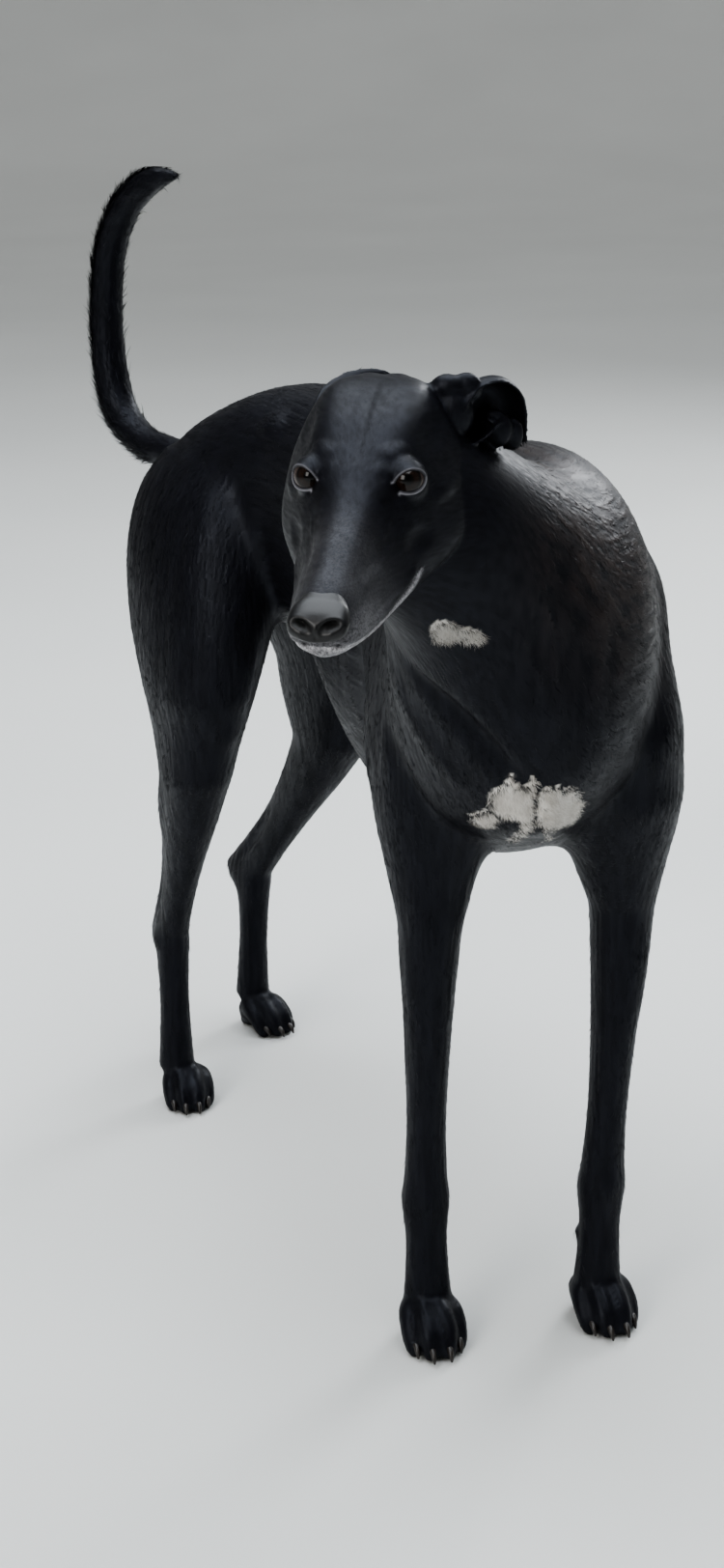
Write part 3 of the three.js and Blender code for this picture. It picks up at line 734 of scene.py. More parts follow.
def distance_to_line(points, line):
    """Least distance to a line of points, and the share along it."""
    best = np.full(len(points), 1e9)
    share = np.zeros(len(points))
    steps = len(line) - 1
    for i in range(steps):
        a, b = line[i], line[i + 1]
        t = np.clip(((points - a) @ (b - a)) / max((b - a) @ (b - a), 1e-9), 0, 1)
        d = np.linalg.norm(points - a - t[:, None] * (b - a), axis=1)
        closer = d < best
        best[closer] = d[closer]
        share[closer] = (i + t[closer]) / steps
    return best, share


# The skin.

def neck_cut():
    """Plane across the neck between the finer head and the body; it faces the head."""
    row = blend(TRUNK, [NECK_CUT_ROW])[0]
    middle = np.array((0, (row[0] + row[2]) / 2, (row[1] + row[3]) / 2))
    heading = float(spine_heading(middle[1]))
    ahead = unit((0, row[3] - row[1], row[0] - row[2]))
    point = bend([middle])[0]
    return point, np.array((ahead[1] * math.sin(heading), ahead[1] * math.cos(heading), ahead[2]))


# Places where limbs, neck and tail grow out of the trunk, smoothed wider: place and radius.
FLOWING = [
    ((-76, -120, 560), 120), ((110, -180, 560), 120), ((-100, -222, 415), 62), ((-42, -250, 415), 62),
    ((-100, 200, 560), 130), ((40, 240, 560), 130), ((-40, 330, 590), 90), ((-100, 150, 480), 90),
    ((60, 180, 480), 90), ((-120, -270, 620), 100), ((-60, 350, 600), 60),
]

# Where one part ends and the next begins, as the two ends of a soft step. Trunk above the legs and
# tail on the standing dog; nape and throat in the head's frame.
TRUNK_Z = (330, 430)
TAIL_Y, TAIL_Z = (345, 400), (560, 600)
NAPE_Y, NAPE_X = (60, 105), (60, 20)
THROAT_Y, THROAT_Z = (30, 80), (-20, -50)
SEAM_WIDTH = 14

# Muscles and bones under the coat, on the straight dog's left; the right side mirrors them. Rounded
# forms: place, radii, height. Ridges and grooves: their line, half their width, height.
BODY_FORMS = [
    (88, -238, 492, 34, 34, 34, 4.0),  # point of the shoulder
    (104, -140, 470, 34, 52, 70, 4.5),  # triceps
    (98, -190, 590, 24, 34, 60, 2.5),  # in front of the shoulder blade's ridge
    (0, -318, 508, 26, 22, 26, 3.5),  # breastbone
    (40, -296, 462, 34, 34, 34, 3.0),  # breast muscle
    (34, -20, 700, 26, 110, 22, 2.5),  # back muscle
    (36, 120, 705, 26, 90, 22, 3.0),  # loin muscle
    (60, 186, 676, 20, 24, 20, 4.0),  # hip bone
    (92, 235, 560, 30, 40, 80, 3.0),  # front of the thigh
    (88, 300, 540, 30, 40, 80, 3.5),  # back of the thigh
    (98, 208, 405, 20, 20, 26, 3.0),  # stifle
]
BODY_LINES = [
    ([(58, -128, 690), (78, -165, 620), (92, -208, 540)], 9, 2.4),  # ridge of the shoulder blade
    ([(62, -60, 690), (100, -80, 590), (112, -104, 500), (104, -118, 420)], 17, -4.0),  # behind it
    ([(96, -214, 545), (108, -190, 490), (106, -172, 430)], 10, -2.6),  # between shoulder and triceps
    ([(52, -352, 640), (66, -318, 590), (62, -305, 555), (40, -318, 525)], 15, -6.0),  # neck from shoulder
    ([(70, -300, 640), (84, -262, 580), (88, -240, 530)], 12, 3.0),  # front edge of the shoulder
    ([(60, -300, 500), (66, -276, 450), (60, -258, 410)], 11, -3.0),  # breast from upper arm
    ([(0, -335, 520), (0, -312, 470), (0, -270, 425)], 6, -2.2),  # cleft of the breast
    ([(0, -150, 707), (0, 0, 694), (0, 120, 701), (0, 230, 698)], 10, -2.2),  # furrow of the back
    ([(96, 256, 610), (112, 262, 540), (114, 262, 470), (104, 262, 420)], 12, -3.2),  # in the thigh
    ([(80, 150, 520), (88, 176, 470), (94, 200, 430)], 12, 3.0),  # fold of the flank
    ([(40, 330, 640), (70, 322, 590), (92, 318, 540)], 10, -2.2),  # seat from thigh
    ([(60, 180, 660), (76, 215, 610), (84, 235, 560)], 14, -2.2),  # behind the hip bone
]
# Lines of the bent neck and right shoulder, on the standing dog.
STANDING_LINES = [
    ([(-192, -262, 616), (-181, -283, 579), (-162, -303, 554), (-138, -318, 523),
      (-118, -324, 496)], 9, -6.5),  # neck from shoulder
    ([(-186, -238, 600), (-172, -248, 560), (-156, -268, 520), (-140, -284, 494)], 11, 3.5),  # its edge
    ([(-178, -190, 610), (-168, -190, 540), (-160, -192, 478)], 7, 2.5),  # ridge of the shoulder blade
    ([(-166, -222, 560), (-160, -228, 520), (-150, -232, 480)], 5, 1.8),  # muscle before it
    ([(-150, -222, 430), (-146, -212, 400), (-144, -200, 362)], 6, 2.2),  # edge of the upper arm
    ([(-124, -334, 506), (-108, -322, 486), (-98, -304, 462)], 6, -3.0),  # cleft of the breast
    ([(10, -250, 560), (8, -272, 500), (0, -290, 440)], 9, 2.0),  # edge of the left breast muscle
]
# Ribs that show, and how far apart they are along the trunk.
RIBS, RIB_STEP = 7, 25
# On a leg: out from its middle, ahead, height, radii, depth.
FRONT_LEG_FORMS = [
    (10, 14, 300, 16, 16, 60, 2.5),  # muscle ahead of the forearm
    (22, -6, 290, 8, 8, 70, -2.2),  # groove on its outside
    (0, -22, 168, 12, 10, 50, -2.5),  # hollow before the tendons
    (0, 19, 120, 16, 10, 16, 1.6),  # front of the wrist
    (0, -22, 104, 10, 9, 12, 4.0),  # stopper pad
    (-17, -8, 74, 6, 6, 10, 3.5),  # dew claw's toe
    (0, -19, 70, 9, 8, 22, -2.0),  # hollow over the heel
]
HIND_LEG_FORMS = [
    (15, -22, 215, 12, 12, 46, -5.0),  # between shin and tendon, outside
    (-15, -22, 215, 12, 12, 46, -5.0),  # and inside
    (0, -44, 170, 12, 12, 16, 2.0),  # point of the hock
    (15, -4, 165, 8, 14, 16, 1.8),  # hock bone
    (14, -16, 120, 7, 9, 40, -1.8),
    (16, -28, 320, 14, 22, 50, 3.0),  # calf
]


def leg_places(leg, points):
    """Out, ahead and height of points round one leg."""
    joints = np.concatenate([bend(leg["high"]), np.array(leg["low"], float)])
    z = points[:, 2]
    order = joints[::-1]
    middle = np.stack([np.interp(z, order[:, 2], order[:, k]) for k in (0, 1)], 1)
    h = np.radians(np.interp(z, order[:, 2], leg["headings"][::-1]))
    off = points[:, :2] - middle
    out = leg["sign"] * (off[:, 0] * np.cos(h) - off[:, 1] * np.sin(h))
    ahead = -off[:, 0] * np.sin(h) - off[:, 1] * np.cos(h)
    return np.stack([out, ahead, z], 1)


def press_line(surface, local, line, half_width, height, normals):
    """A ridge, or a groove where height is below zero, that runs out at both ends."""
    d, share = distance_to_line(local, spline(line, 24))
    ends = np.sin(np.clip(share, 0.03, 0.97) * math.pi) ** 0.6
    surface.points += normals * (height * ends * np.exp(-(d / half_width) ** 2))[:, None]


def sculpt_body(surface):
    """Muscles, grooves, ribs and the forms of the legs."""
    on_body = 1 - head_share(surface.points)
    normals = surface.normals() * on_body[:, None]
    local = straight(surface.points)
    knead(surface, [r if r[0] == 0 else (k * r[0], *r[1:]) for r in BODY_FORMS
                    for k in ((1, -1) if r[0] else (1,))], straight, normals)
    lines = BODY_LINES + [
        ([(78, y - 62, 650), (108, y - 84, 560), (96, y - 108, 460)], 6, 0.9)
        for y in range(0, RIBS * RIB_STEP, RIB_STEP)]
    for line, half_width, height in lines:
        for side in (1, -1) if line[0][0] else (1,):
            press_line(surface, local, [(side * x, y, z) for x, y, z in line], half_width, height, normals)
    for line, half_width, height in STANDING_LINES:
        press_line(surface, surface.points, line, half_width, height, normals)
    for name, leg in LEGS.items():
        forms = FRONT_LEG_FORMS if name.startswith("front") else HIND_LEG_FORMS
        knead(surface, forms, lambda points, leg=leg: leg_places(leg, points), normals)


# The same for the head, in its frame; each also stands mirrored on the other side.
HEAD_FORMS = [
    (25, 9, 15, 15, 13, 8, 1.8),  # brow
    (14, -3, 9, 7, 10, 6, 1.0),  # inner corner of the brow
    (44, 40, 16, 15, 26, 14, -2.4),  # hollow of the temple
    (52, 30, -17, 14, 26, 8, 1.8),  # cheek bone
    (40, -6, -36, 12, 22, 12, -1.8),  # hollow before the cheek
    (48, 48, -40, 14, 28, 18, 2.2),  # jaw muscle
    (20, -48, -30, 9, 36, 9, -1.3),  # side of the muzzle
    (19, -92, -50, 9, 18, 9, 1.3),  # whisker pad
    (8, -100, -66, 10, 12, 7, 0.9),  # chin
    (10, 94, 32, 10, 12, 10, 1.2),  # back of the skull
]
HEAD_LINES = [
    ([(52, 92, -2), (60, 88, -26), (58, 82, -52), (46, 68, -74), (30, 46, -86)], 8, -5.0),  # behind the jaw
    ([(24, -16, -16), (24, -45, -27), (19, -80, -38)], 2.2, 0.5),  # vein
    ([(13, 4, 14), (20, -1, 13), (27, -2, 11)], 1.5, -1.2),  # wrinkle over the inner corner
    ([(12, 8, 18), (20, 3, 18), (30, 3, 16)], 2.4, 0.9),  # brow fold
    ([(38, 10, -68), (41, 12, -55), (44, 16, -42)], 3.0, -1.8),  # fold behind the lips
]
FOREHEAD_FURROW, FURROW_HALF_WIDTH, FURROW_DEPTH = [(0, -6, 13), (0, 30, 33), (0, 80, 38)], 4.5, 1.7
# Lids: how far the opening's edge goes in beside the eyeball, and the fold over the upper lid as its
# distance from the opening, half-width and depth.
LID_TURN_IN = 1.6
LID_FOLD = (4.4, 1.0, 0.8)
# Mouth: half-width and depth of the line, then how far off the lips are fullest and over what width.
MOUTH_GROOVE = (1.5, 2.0)
LIPS = (4.2, 2.4)


def mirrored(rows):
    """Rows for both sides."""
    return [r for x, *rest in rows for r in ((x, *rest), (-x, *rest))]


def lid_distance(ways, radius, side):
    """Distance round the eyeball from each way out of it to the edge of the lids; below zero inside
    the opening."""
    line = spline([(side * a, b) for a, b in LIDS], 64, closed=True)
    out = np.linalg.norm(line, axis=1)[:, None]
    line = line / out * radius * np.arcsin(out / radius)
    across = ways[:, [0, 2]]
    out = np.maximum(np.linalg.norm(across, axis=1), 1e-6)
    x, z = (across / out[:, None]).T * radius * np.arctan2(out, -ways[:, 1])
    best = np.full(len(x), 1e9)
    inside = np.zeros(len(x), bool)
    p = np.stack([x, z], 1)
    for a, b in zip(line, np.roll(line, -1, axis=0)):
        t = np.clip(((p - a) @ (b - a)) / ((b - a) @ (b - a)), 0, 1)
        best = np.minimum(best, np.linalg.norm(p - a - t[:, None] * (b - a), axis=1))
        cut = (b[0] - a[0]) * (z - a[1]) / (b[1] - a[1] + 1e-12) + a[0]
        inside ^= ((a[1] > z) != (b[1] > z)) & (x < cut)
    return np.where(inside, -best, best)


def form_lids(surface, lid):
    """Wraps the skin round each eyeball and opens it between the lids; returns bare rims."""
    rims = np.zeros(len(surface.points))
    for side in (1, -1):
        turn, centre = eye_frame(side)
        normals = surface.normals()
        local = (to_head(surface.points) - centre) @ turn
        reach = np.linalg.norm(local, axis=1)
        near = (reach < 30) & (local[:, 1] < 6)
        q = local[near]
        ways = unit(q)
        eye_radius = lid.eye_radius / MM
        sd = lid_distance(ways, eye_radius + 1, side)
        front = soft(6, 0, q[:, 1])
        open_r = eye_radius - LID_TURN_IN
        rim_r = eye_radius + lid.lid_thickness / MM
        radius = open_r + (rim_r - open_r) * soft(-1.0, 0.7, sd)
        off, half_width, depth = LID_FOLD
        fold = np.exp(-((sd - off) / half_width) ** 2) * soft(-2, 4, (ways * (eye_radius + 1))[:, 2])
        radius = radius + 0.35 * np.exp(-((sd - 1.6) / 1.0) ** 2) - fold * depth
        facing = soft(0.15, 0.55, (ways * ((normals[near] @ HEAD_R) @ turn)).sum(1))
        far = soft(20, 15, reach[near])
        wide = np.where(reach[near] < radius, soft(12, 4, sd), soft(4.5, 2, sd))
        pull = np.maximum(wide * facing, soft(3.2, 1.6, sd)) * front * far
        moved = q + (ways * radius[:, None] - q) * pull[:, None]
        surface.points[near] = in_head(moved @ turn.T + centre)
        round_eye = np.zeros(len(surface.points))
        round_eye[near] = soft(2.2, 4.6, sd) * soft(26, 17, sd) * front
        surface.relax(0.5 * round_eye, 80)
        rims[near] = np.maximum(rims[near], np.exp(-(np.clip(sd - 0.4, 0, 9) / 1.0) ** 2) * front)
    return rims


def head_share(points):
    """0 on the body, 1 on the head, blending over the cut in the neck."""
    point, normal = neck_cut()
    return soft(*HEAD_BLEND, (points - point) @ normal)


def make_skin(settings):
    """One closed surface round all the flesh, smoothed where its forms meet."""
    point, normal = neck_cut()
    body = fused(body_form(), settings.body_grain / MM, "raw_body")
    head = fused(head_form(), settings.head_grain / MM, "raw_head")
    cut_off(body, point, normal)
    largest(body)
    cut_off(head, point, -normal)
    largest(head)
    surface = Surface(*zipped(body, head, normal))
    body.free()
    head.free()

    at = surface.points
    on_head = head_share(at)
    trunk = soft(*TRUNK_Z, at[:, 2])
    flow = np.zeros(len(at))
    for place, radius in FLOWING:
        flow = np.maximum(flow, soft(radius, radius * 0.45, np.linalg.norm(at - place, axis=1)))
    tail = soft(*TAIL_Y, at[:, 1]) * soft(*TAIL_Z, at[:, 2])
    surface.relax(0.5 * trunk * (1 - on_head) * (1 - tail), 14)
    surface.relax(0.5 * flow * (1 - on_head), 60)
    surface.relax(0.5 * (1 - on_head), 8, swell=1.04)
    seam = np.exp(-(((at - point) @ normal) / SEAM_WIDTH) ** 2)
    surface.relax(0.5 * seam, 25)
    surface.relax(0.5 * on_head, 10, swell=1.03)

    local = to_head(surface.points)
    nape = on_head * soft(*NAPE_Y, local[:, 1]) * soft(*NAPE_X, np.abs(local[:, 0]))
    throat = on_head * soft(*THROAT_Y, local[:, 1]) * soft(*THROAT_Z, local[:, 2])
    surface.relax(0.5 * nape, 40)
    surface.relax(0.5 * throat, 12)
    return surface


def sculpt_head(surface, settings):
    """Bones, folds and lids; returns the bare rims of the lids."""
    knead(surface, mirrored(HEAD_FORMS), to_head)
    local = to_head(surface.points)
    normals = surface.normals()
    on_face = soft(130, 100, local[:, 1]) * head_share(surface.points)
    furrow, share = distance_to_line(local, np.array(FOREHEAD_FURROW, float))
    depth = FURROW_DEPTH * np.sin(np.clip(share, 0, 1) * math.pi) ** 0.7
    surface.points -= normals * (depth * np.exp(-(furrow / FURROW_HALF_WIDTH) ** 2) * on_face)[:, None]
    for side in (1, -1):
        for points, half_width, height in HEAD_LINES:
            line = spline([(side * x, y, z) for x, y, z in points], 24)
            d, share = distance_to_line(local, line)
            ends = np.sin(np.clip(share, 0.04, 0.96) * math.pi) ** 0.6
            surface.points += normals * (height * ends * np.exp(-(d / half_width) ** 2)
                                         * head_share(surface.points))[:, None]
    near_eyes = np.zeros(len(local), bool)
    for side in (1, -1):
        near_eyes |= np.linalg.norm(local - eye_frame(side)[1], axis=1) < 24
    surface.refine(near_eyes)
    return form_lids(surface, settings)


def under_mouth(local, line):
    """Which points lie lower than the line of the mouth."""
    order = np.argsort(line[:, 1])
    return local[:, 2] <= np.interp(local[:, 1], line[order, 1], line[order, 2])


def sculpt_mouth(surface):
    """The line of the lips, the fuller upper lip over it and the lower lip under it; returns how bare
    the skin is there."""
    local = to_head(surface.points)
    normals = surface.normals()
    on_face = soft(20, -10, local[:, 1])
    line = spline(MOUTH, 40)
    both = np.concatenate([line[::-1] * (-1, 1, 1), line[1:]])
    d, share = distance_to_line(local, both)
    end = soft(0.0, 0.06, share) * soft(1.0, 0.94, share)
    half_width, depth = MOUTH_GROOVE
    groove = -depth * np.exp(-(d / half_width) ** 2)
    off, width = LIPS
    lips = np.where(under_mouth(local, line), 0.5, 1.0) * np.exp(-((d - off) / width) ** 2)
    surface.points += normals * ((groove + lips) * on_face * end)[:, None]
    return np.exp(-(d / 1.3) ** 2) * on_face * end


def lie_of_coat(surface, form_list):
    """The way the hair lies at each point of the skin, from the forms that it grew from, evened out
    over a hand's breadth on the body and less on the head."""
    points = np.concatenate([np.concatenate(f.points)[::3] for f in form_list])
    lies = np.concatenate([np.concatenate(f.lie)[::3] for f in form_list])
    given = np.linalg.norm(lies, axis=1) > 0.5
    points, lies = points[given], lies[given]
    tree = KDTree(len(points))
    for i, p in enumerate(points):
        tree.insert(p, i)
    tree.balance()
    lie = lies[np.array([tree.find(p)[1] for p in surface.points])]
    lie[:, 2] -= 0.15  # all hair hangs a little
    cell = 12.0
    low = surface.points.min(0) - 6 * cell
    grid_place = (surface.points - low) / cell
    shape = np.ceil(grid_place.max(0)).astype(int) + 7
    index = np.ravel_multi_index(tuple(np.round(grid_place).astype(int).T), shape)
    grid = np.stack([np.bincount(index, lie[:, k], shape.prod()).reshape(shape) for k in range(3)], -1)
    for _ in range(5):
        for axis in range(3):
            grid = (np.roll(grid, 1, axis) + 2 * grid + np.roll(grid, -1, axis)) / 4
    corner = np.floor(grid_place).astype(int)
    part = grid_place - corner
    even = np.zeros_like(lie)
    for step in np.ndindex(2, 2, 2):
        share = np.prod(np.where(step, part, 1 - part), axis=1)[:, None]
        even += share * grid[tuple((corner + step).T)]
    for _ in range(25):
        lie = surface.averages(lie)
    on_head = head_share(surface.points)[:, None]
    lie = unit(lie) * on_head + unit(even) * (1 - on_head)
    normals = surface.normals()
    lie -= normals * (lie * normals).sum(1, keepdims=True)
    return unit(lie)


def streaks_along(surface, lie, rounds=14, seed=12):
    """Random light and dark streaks, about -1 to 1: chance values blurred only along the hair, then
    brought to an even strength."""
    rng = np.random.default_rng(seed)
    value = rng.normal(size=(len(surface.points), 1))[:, 0]
    a, b = surface.edges.T
    way = unit(surface.points[b] - surface.points[a])
    weight = np.abs((way * lie[a]).sum(1)) ** 6 + 0.004
    n = len(value)
    total = np.bincount(a, weight, n) + np.bincount(b, weight, n)
    own = total.mean() * 0.5
    for _ in range(rounds):
        value = (np.bincount(a, weight * value[b], n) + np.bincount(b, weight * value[a], n)
                 + own * value) / (total + own)
    local = np.sqrt(np.maximum(surface.averages(value[:, None] ** 2)[:, 0], 1e-12))
    for _ in range(30):
        local = surface.averages(local[:, None])[:, 0]
    return np.clip(value / (local * 1.6 + 1e-6), -1.5, 1.5)


# Markings, drawn in the plane that the breast faces: it heads 26 degrees to the dog's right and 18 up.
# Each patch has its middle, its lobes as across, up and the two radii, and the lines that part it or
# run out of it as two ends and half a width.
BREAST_HEADING, BREAST_LIFT = 26, 18
CHEST_PATCH = {
    "at": (-102, -311, 479), "reach": 75,
    "lobes": [(-18, 7, 15, 11), (-8, 5, 9, 12), (19, 0, 15, 13), (9, 4, 9, 10), (-37, -6, 8, 6)],
    "strips": [((-3, -4), (-15, -25), 2.2), ((4, -4), (14, -24), 2.2), ((-20, 10), (-17, 24), 2.0),
               ((-4, 12), (-3, 21), 1.8), ((12, 8), (14, 16), 1.8), ((30, -4), (35, 2), 2.0)],
    "parting": ((-1, 14), (0, -12), 2.4),
}
# Whitish lower lip: full width under the line of the mouth, then how fast it fades.
LIP_RIM, LIP_RIM_FADE = 2.2, 2.6
# Pale edge of the lids, partly pale hair and partly a painted highlight of the wet lid margin: distance from
# the opening, half-width.
LID_EDGE_HAIR_AND_HIGHLIGHT = (1.2, 0.6)
# Faded hair spreads from here on the neck, with none at the first distance and all at the second.
BROWN_AT, BROWN_REACH = (-45, -260, 650), (150, 50)
THROAT_PATCH = {
    "at": (-178, -335, 622), "reach": 45,
    "lobes": [(-8, 2, 8.5, 6), (10, -2, 7.5, 3.8)], "strips": [((-2, 1), (8, -2), 2.0)],
    "parting": ((2, 12), (3, 8), 0.8),
}


def ragged(points, scale, seed):
    """Smooth, repeatable unevenness between -1 and 1."""
    rng = np.random.default_rng(seed)
    total = np.zeros(len(points))
    for octave in range(3):
        for _ in range(5):
            wave = rng.normal(size=3) * (2.2 ** octave) / scale
            total += np.sin(points @ wave + rng.uniform(0, 6.28)) / (1.6 ** octave)
    return total / 4.5


def patch(points, marking, edge, seed):
    """Share of white hair at points; edge is how softly it ends."""
    ahead = -turned(yaw=BREAST_HEADING, pitch=-BREAST_LIFT)[:, 1]
    across = turned(yaw=BREAST_HEADING)[:, 0]
    off = points - np.array(marking["at"], float)
    flat = np.stack([off @ across, off @ np.cross(ahead, across)], 1)
    grain = np.stack([flat[:, 0] * 1.6, flat[:, 1] * 0.5, 0 * flat[:, 0]], 1)
    flat += np.stack([0.8 * ragged(grain, 4, seed), 2.2 * ragged(grain, 4, seed + 1)], 1)
    best = np.full(len(points), -9.0)
    for x, y, rx, ry in marking["lobes"]:
        best = np.maximum(best, 1 - np.hypot((flat[:, 0] - x) / rx, (flat[:, 1] - y) / ry))
    for a, b, half_width in marking["strips"]:
        d, share = distance_to_line(flat, np.array([a, b], float))
        best = np.maximum(best, (1 - d / (half_width * (1.2 - 0.6 * share))) * 0.4)
    a, b, half_width = marking["parting"]
    d = distance_to_line(flat, np.array([a, b], float))[0]
    front = np.abs(off @ ahead) < marking["reach"]
    near = np.linalg.norm(flat, axis=1) < marking["reach"]
    return soft(-edge, edge, best) * soft(0.5, 1.3, d / half_width) * front * near


def markings(points):
    """White, grey and brown shares of the coat at points, and the pale rims of the eyes, partly a painted
    highlight of the wet lid margin; the grey holds a faint painted sheen over the muzzle.
    """
    local = to_head(points)
    x, y, z = local.T
    white = patch(points, CHEST_PATCH, 0.07, 4)
    white = np.maximum(white, 0.78 * patch(points, THROAT_PATCH, 0.14, 9))

    mouth = spline(MOUTH, 30)
    lip = distance_to_line(local, np.concatenate([mouth[::-1] * (-1, 1, 1), mouth[1:]]))[0]
    lower_lip = under_mouth(local, mouth) * np.exp(-(np.clip(lip - LIP_RIM, 0, 99) / LIP_RIM_FADE) ** 2)
    lower_lip = lower_lip * soft(8, -30, y)
    chin = 0.3 * soft(-58, -66, z) * soft(-60, -95, y)
    muzzle = 0.24 * soft(-55, -100, y) * soft(-36, -54, z)
    # A faint grey over the muzzle ahead of the eyes: partly sparse grey hairs, partly a painted sheen.
    bridge_hairs_and_sheen = 0.05 * soft(-20, -60, y)
    grey = np.clip(np.maximum(lower_lip * 1.1, chin) + muzzle + bridge_hairs_and_sheen, 0, 1) * head_share(points)
    grey *= 0.8 + 0.2 * ragged(points, 4, 2)

    # Pale rims of the lids: pale hair and a painted highlight of the wet lid margin, painted stronger along
    # the lower lid.
    rim = np.zeros(len(points))
    for side in (1, -1):
        turn, centre = eye_frame(side)
        q = (local - centre) @ turn
        near = (np.linalg.norm(q, axis=1) < 26) & (q[:, 1] < 2)
        ways = unit(q[near])
        off, half_width = LID_EDGE_HAIR_AND_HIGHLIGHT
        rim[near] = np.exp(-((lid_distance(ways, 13, side) - off) / half_width) ** 2)
        rim[near] *= np.where((ways * 13)[:, 2] < 1, 0.8, 0.4)
        rim[near] *= soft(16, 14.2, np.linalg.norm(q[near], axis=1))

    brown = soft(*BROWN_REACH, np.linalg.norm(points - BROWN_AT, axis=1))
    return np.stack([white, np.clip(grey, 0, 1), brown, rim], 1)


def mesh_from(name, form):
    """A smooth piece of the model from a form."""
    made = mesh_object(name, metres(np.concatenate(form.points)), form.faces)
    made.data.shade_smooth()
    return made


def piece_of(surface, name):
    """A worked surface as a smooth piece of the model."""
    mesh = surface.mesh
    mesh.vertices.foreach_set("co", inside_cad(metres(surface.points)).ravel())
    mesh.update()
    mesh.shade_smooth()
    made = bpy.data.objects.new(name, mesh)
    bpy.context.scene.collection.objects.link(made)
    return made


def store(mesh, name, values):
    """One number for each point of a mesh, for the materials to read."""
    field = mesh.attributes.new(name, "FLOAT", "POINT")
    field.data.foreach_set("value", np.asarray(values, np.float32))


def inside_cad(points):
    """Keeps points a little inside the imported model's box."""
    lo, hi = (np.array(c) for c in CAD_BOX)
    return np.clip(points, lo + 0.0002, hi - 0.0002)


# What the coat needs of the skin, kept from one operator to the next.
WORK = {}
MARKS = ("white", "grey", "brown", "rim")


def build_skin(sizes):
    """The skin of the whole animal, with the markings that the coat repeats."""
    surface = make_skin(sizes)
    rims = sculpt_head(surface, sizes)
    sculpt_body(surface)
    lip = sculpt_mouth(surface)
    # The skin lies under the coat by its depth, less so on the feet and face.
    local = to_head(surface.points)
    thin = np.maximum(soft(60, 10, surface.points[:, 2]), head_share(surface.points))
    depth = sizes.coat_depth / MM * (1 - 0.75 * thin)
    surface.points -= surface.normals() * depth[:, None]
    surface.points[:, 2] = np.maximum(surface.points[:, 2], 0.0)
    surface.write()
    shares = markings(surface.points)
    lie = lie_of_coat(surface, [body_form(), head_form()])
    pads = soft(7, 2, surface.points[:, 2])
    normals = surface.normals()
    skin = piece_of(surface, "skin")
    mesh = skin.data
    mesh.name = "skin"
    streak = streaks_along(surface, lie)
    for i, name in enumerate(MARKS):
        store(mesh, name, shares[:, i])
    store(mesh, "streak", streak)
    store(mesh, "relief", streak * (1 - 0.9 * head_share(surface.points)))
    store(mesh, "bare", np.clip(np.maximum(np.maximum(rims, lip), pads * (normals[:, 2] < 0)), 0, 1))
    flesh = [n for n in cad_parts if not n.startswith(("eye_", "nose"))]
    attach(skin, BODY)
    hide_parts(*flesh)
    WORK.update(surface=surface, lie=lie, normals=normals, shares=shares, streak=streak)
    return skin


# Fineness of an eyeball: rings, points round one. The cornea stands out by so much.
EYE_RINGS, EYE_ROUND = 59, 96
CORNEA_BULGE = 0.9


def build_eyes(sizes):
    """Each eyeball with its cornea, turned to what the dog looks at."""
    made = []
    for side, name in ((1, "left"), (-1, "right")):
        turn, centre = eye_frame(side)
        ahead = -(HEAD_R @ turn)[:, 1]
        at = in_head([centre])[0]
        gaze = unit(unit(np.array(STAGE_CAMERA) - at) * sizes.gaze + ahead * (1 - sizes.gaze))
        side_way = unit(np.cross(gaze, (0, 0, 1)))
        high = np.cross(side_way, gaze)
        radius = sizes.eye_radius / MM - 0.15  # a film's width inside the solid
        angles = np.linspace(0.0, math.pi, EYE_RINGS + 2)[1:-1]
        around = np.linspace(0, 2 * math.pi, EYE_ROUND, endpoint=False)
        r = (radius + CORNEA_BULGE * soft(0.72, 0.0, angles))[:, None]
        rings = (gaze * (np.cos(angles)[:, None] * r)[..., None]
                 + side_way * (np.sin(angles)[:, None] * np.cos(around)[None] * r)[..., None]
                 + high * (np.sin(angles)[:, None] * np.sin(around)[None] * r)[..., None]) + at
        form = Form()
        form.rings(rings)
        eye = mesh_from("eyeball_" + name, form)
        store(eye.data, "off_centre", np.repeat(angles * radius, EYE_ROUND))
        store(eye.data, "round_x", np.tile(np.cos(around), EYE_RINGS))
        store(eye.data, "round_y", np.tile(np.sin(around), EYE_RINGS))
        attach(eye, BODY)
        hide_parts("eye_" + name)
        made.append(eye)
    return made


# The nose in the head's frame: the middle of the left nostril's slit, its half-width and depth at the
# front and what they lose towards the back, where both lead to, and the furrow down to the lip.
NOSTRIL = [(4.8, -131, -40), (8.5, -127.5, -39), (12.8, -123, -40), (16.2, -118.5, -43),
           (20, -112, -44.5)]
NOSTRIL_WIDTH, NOSTRIL_DEPTH = (3.5, 2.1), (7.0, 5.6)
NOSTRIL_ROOT = (7.0, -100, -42)
NOSE_FURROW, NOSE_FURROW_DEPTH = [(0, -131, -40), (0, -128, -47), (0, -122, -54)], 1.0
NOSE_ROWS, NOSE_ROUND, NOSE_GRAIN = 60, 96, 0.7


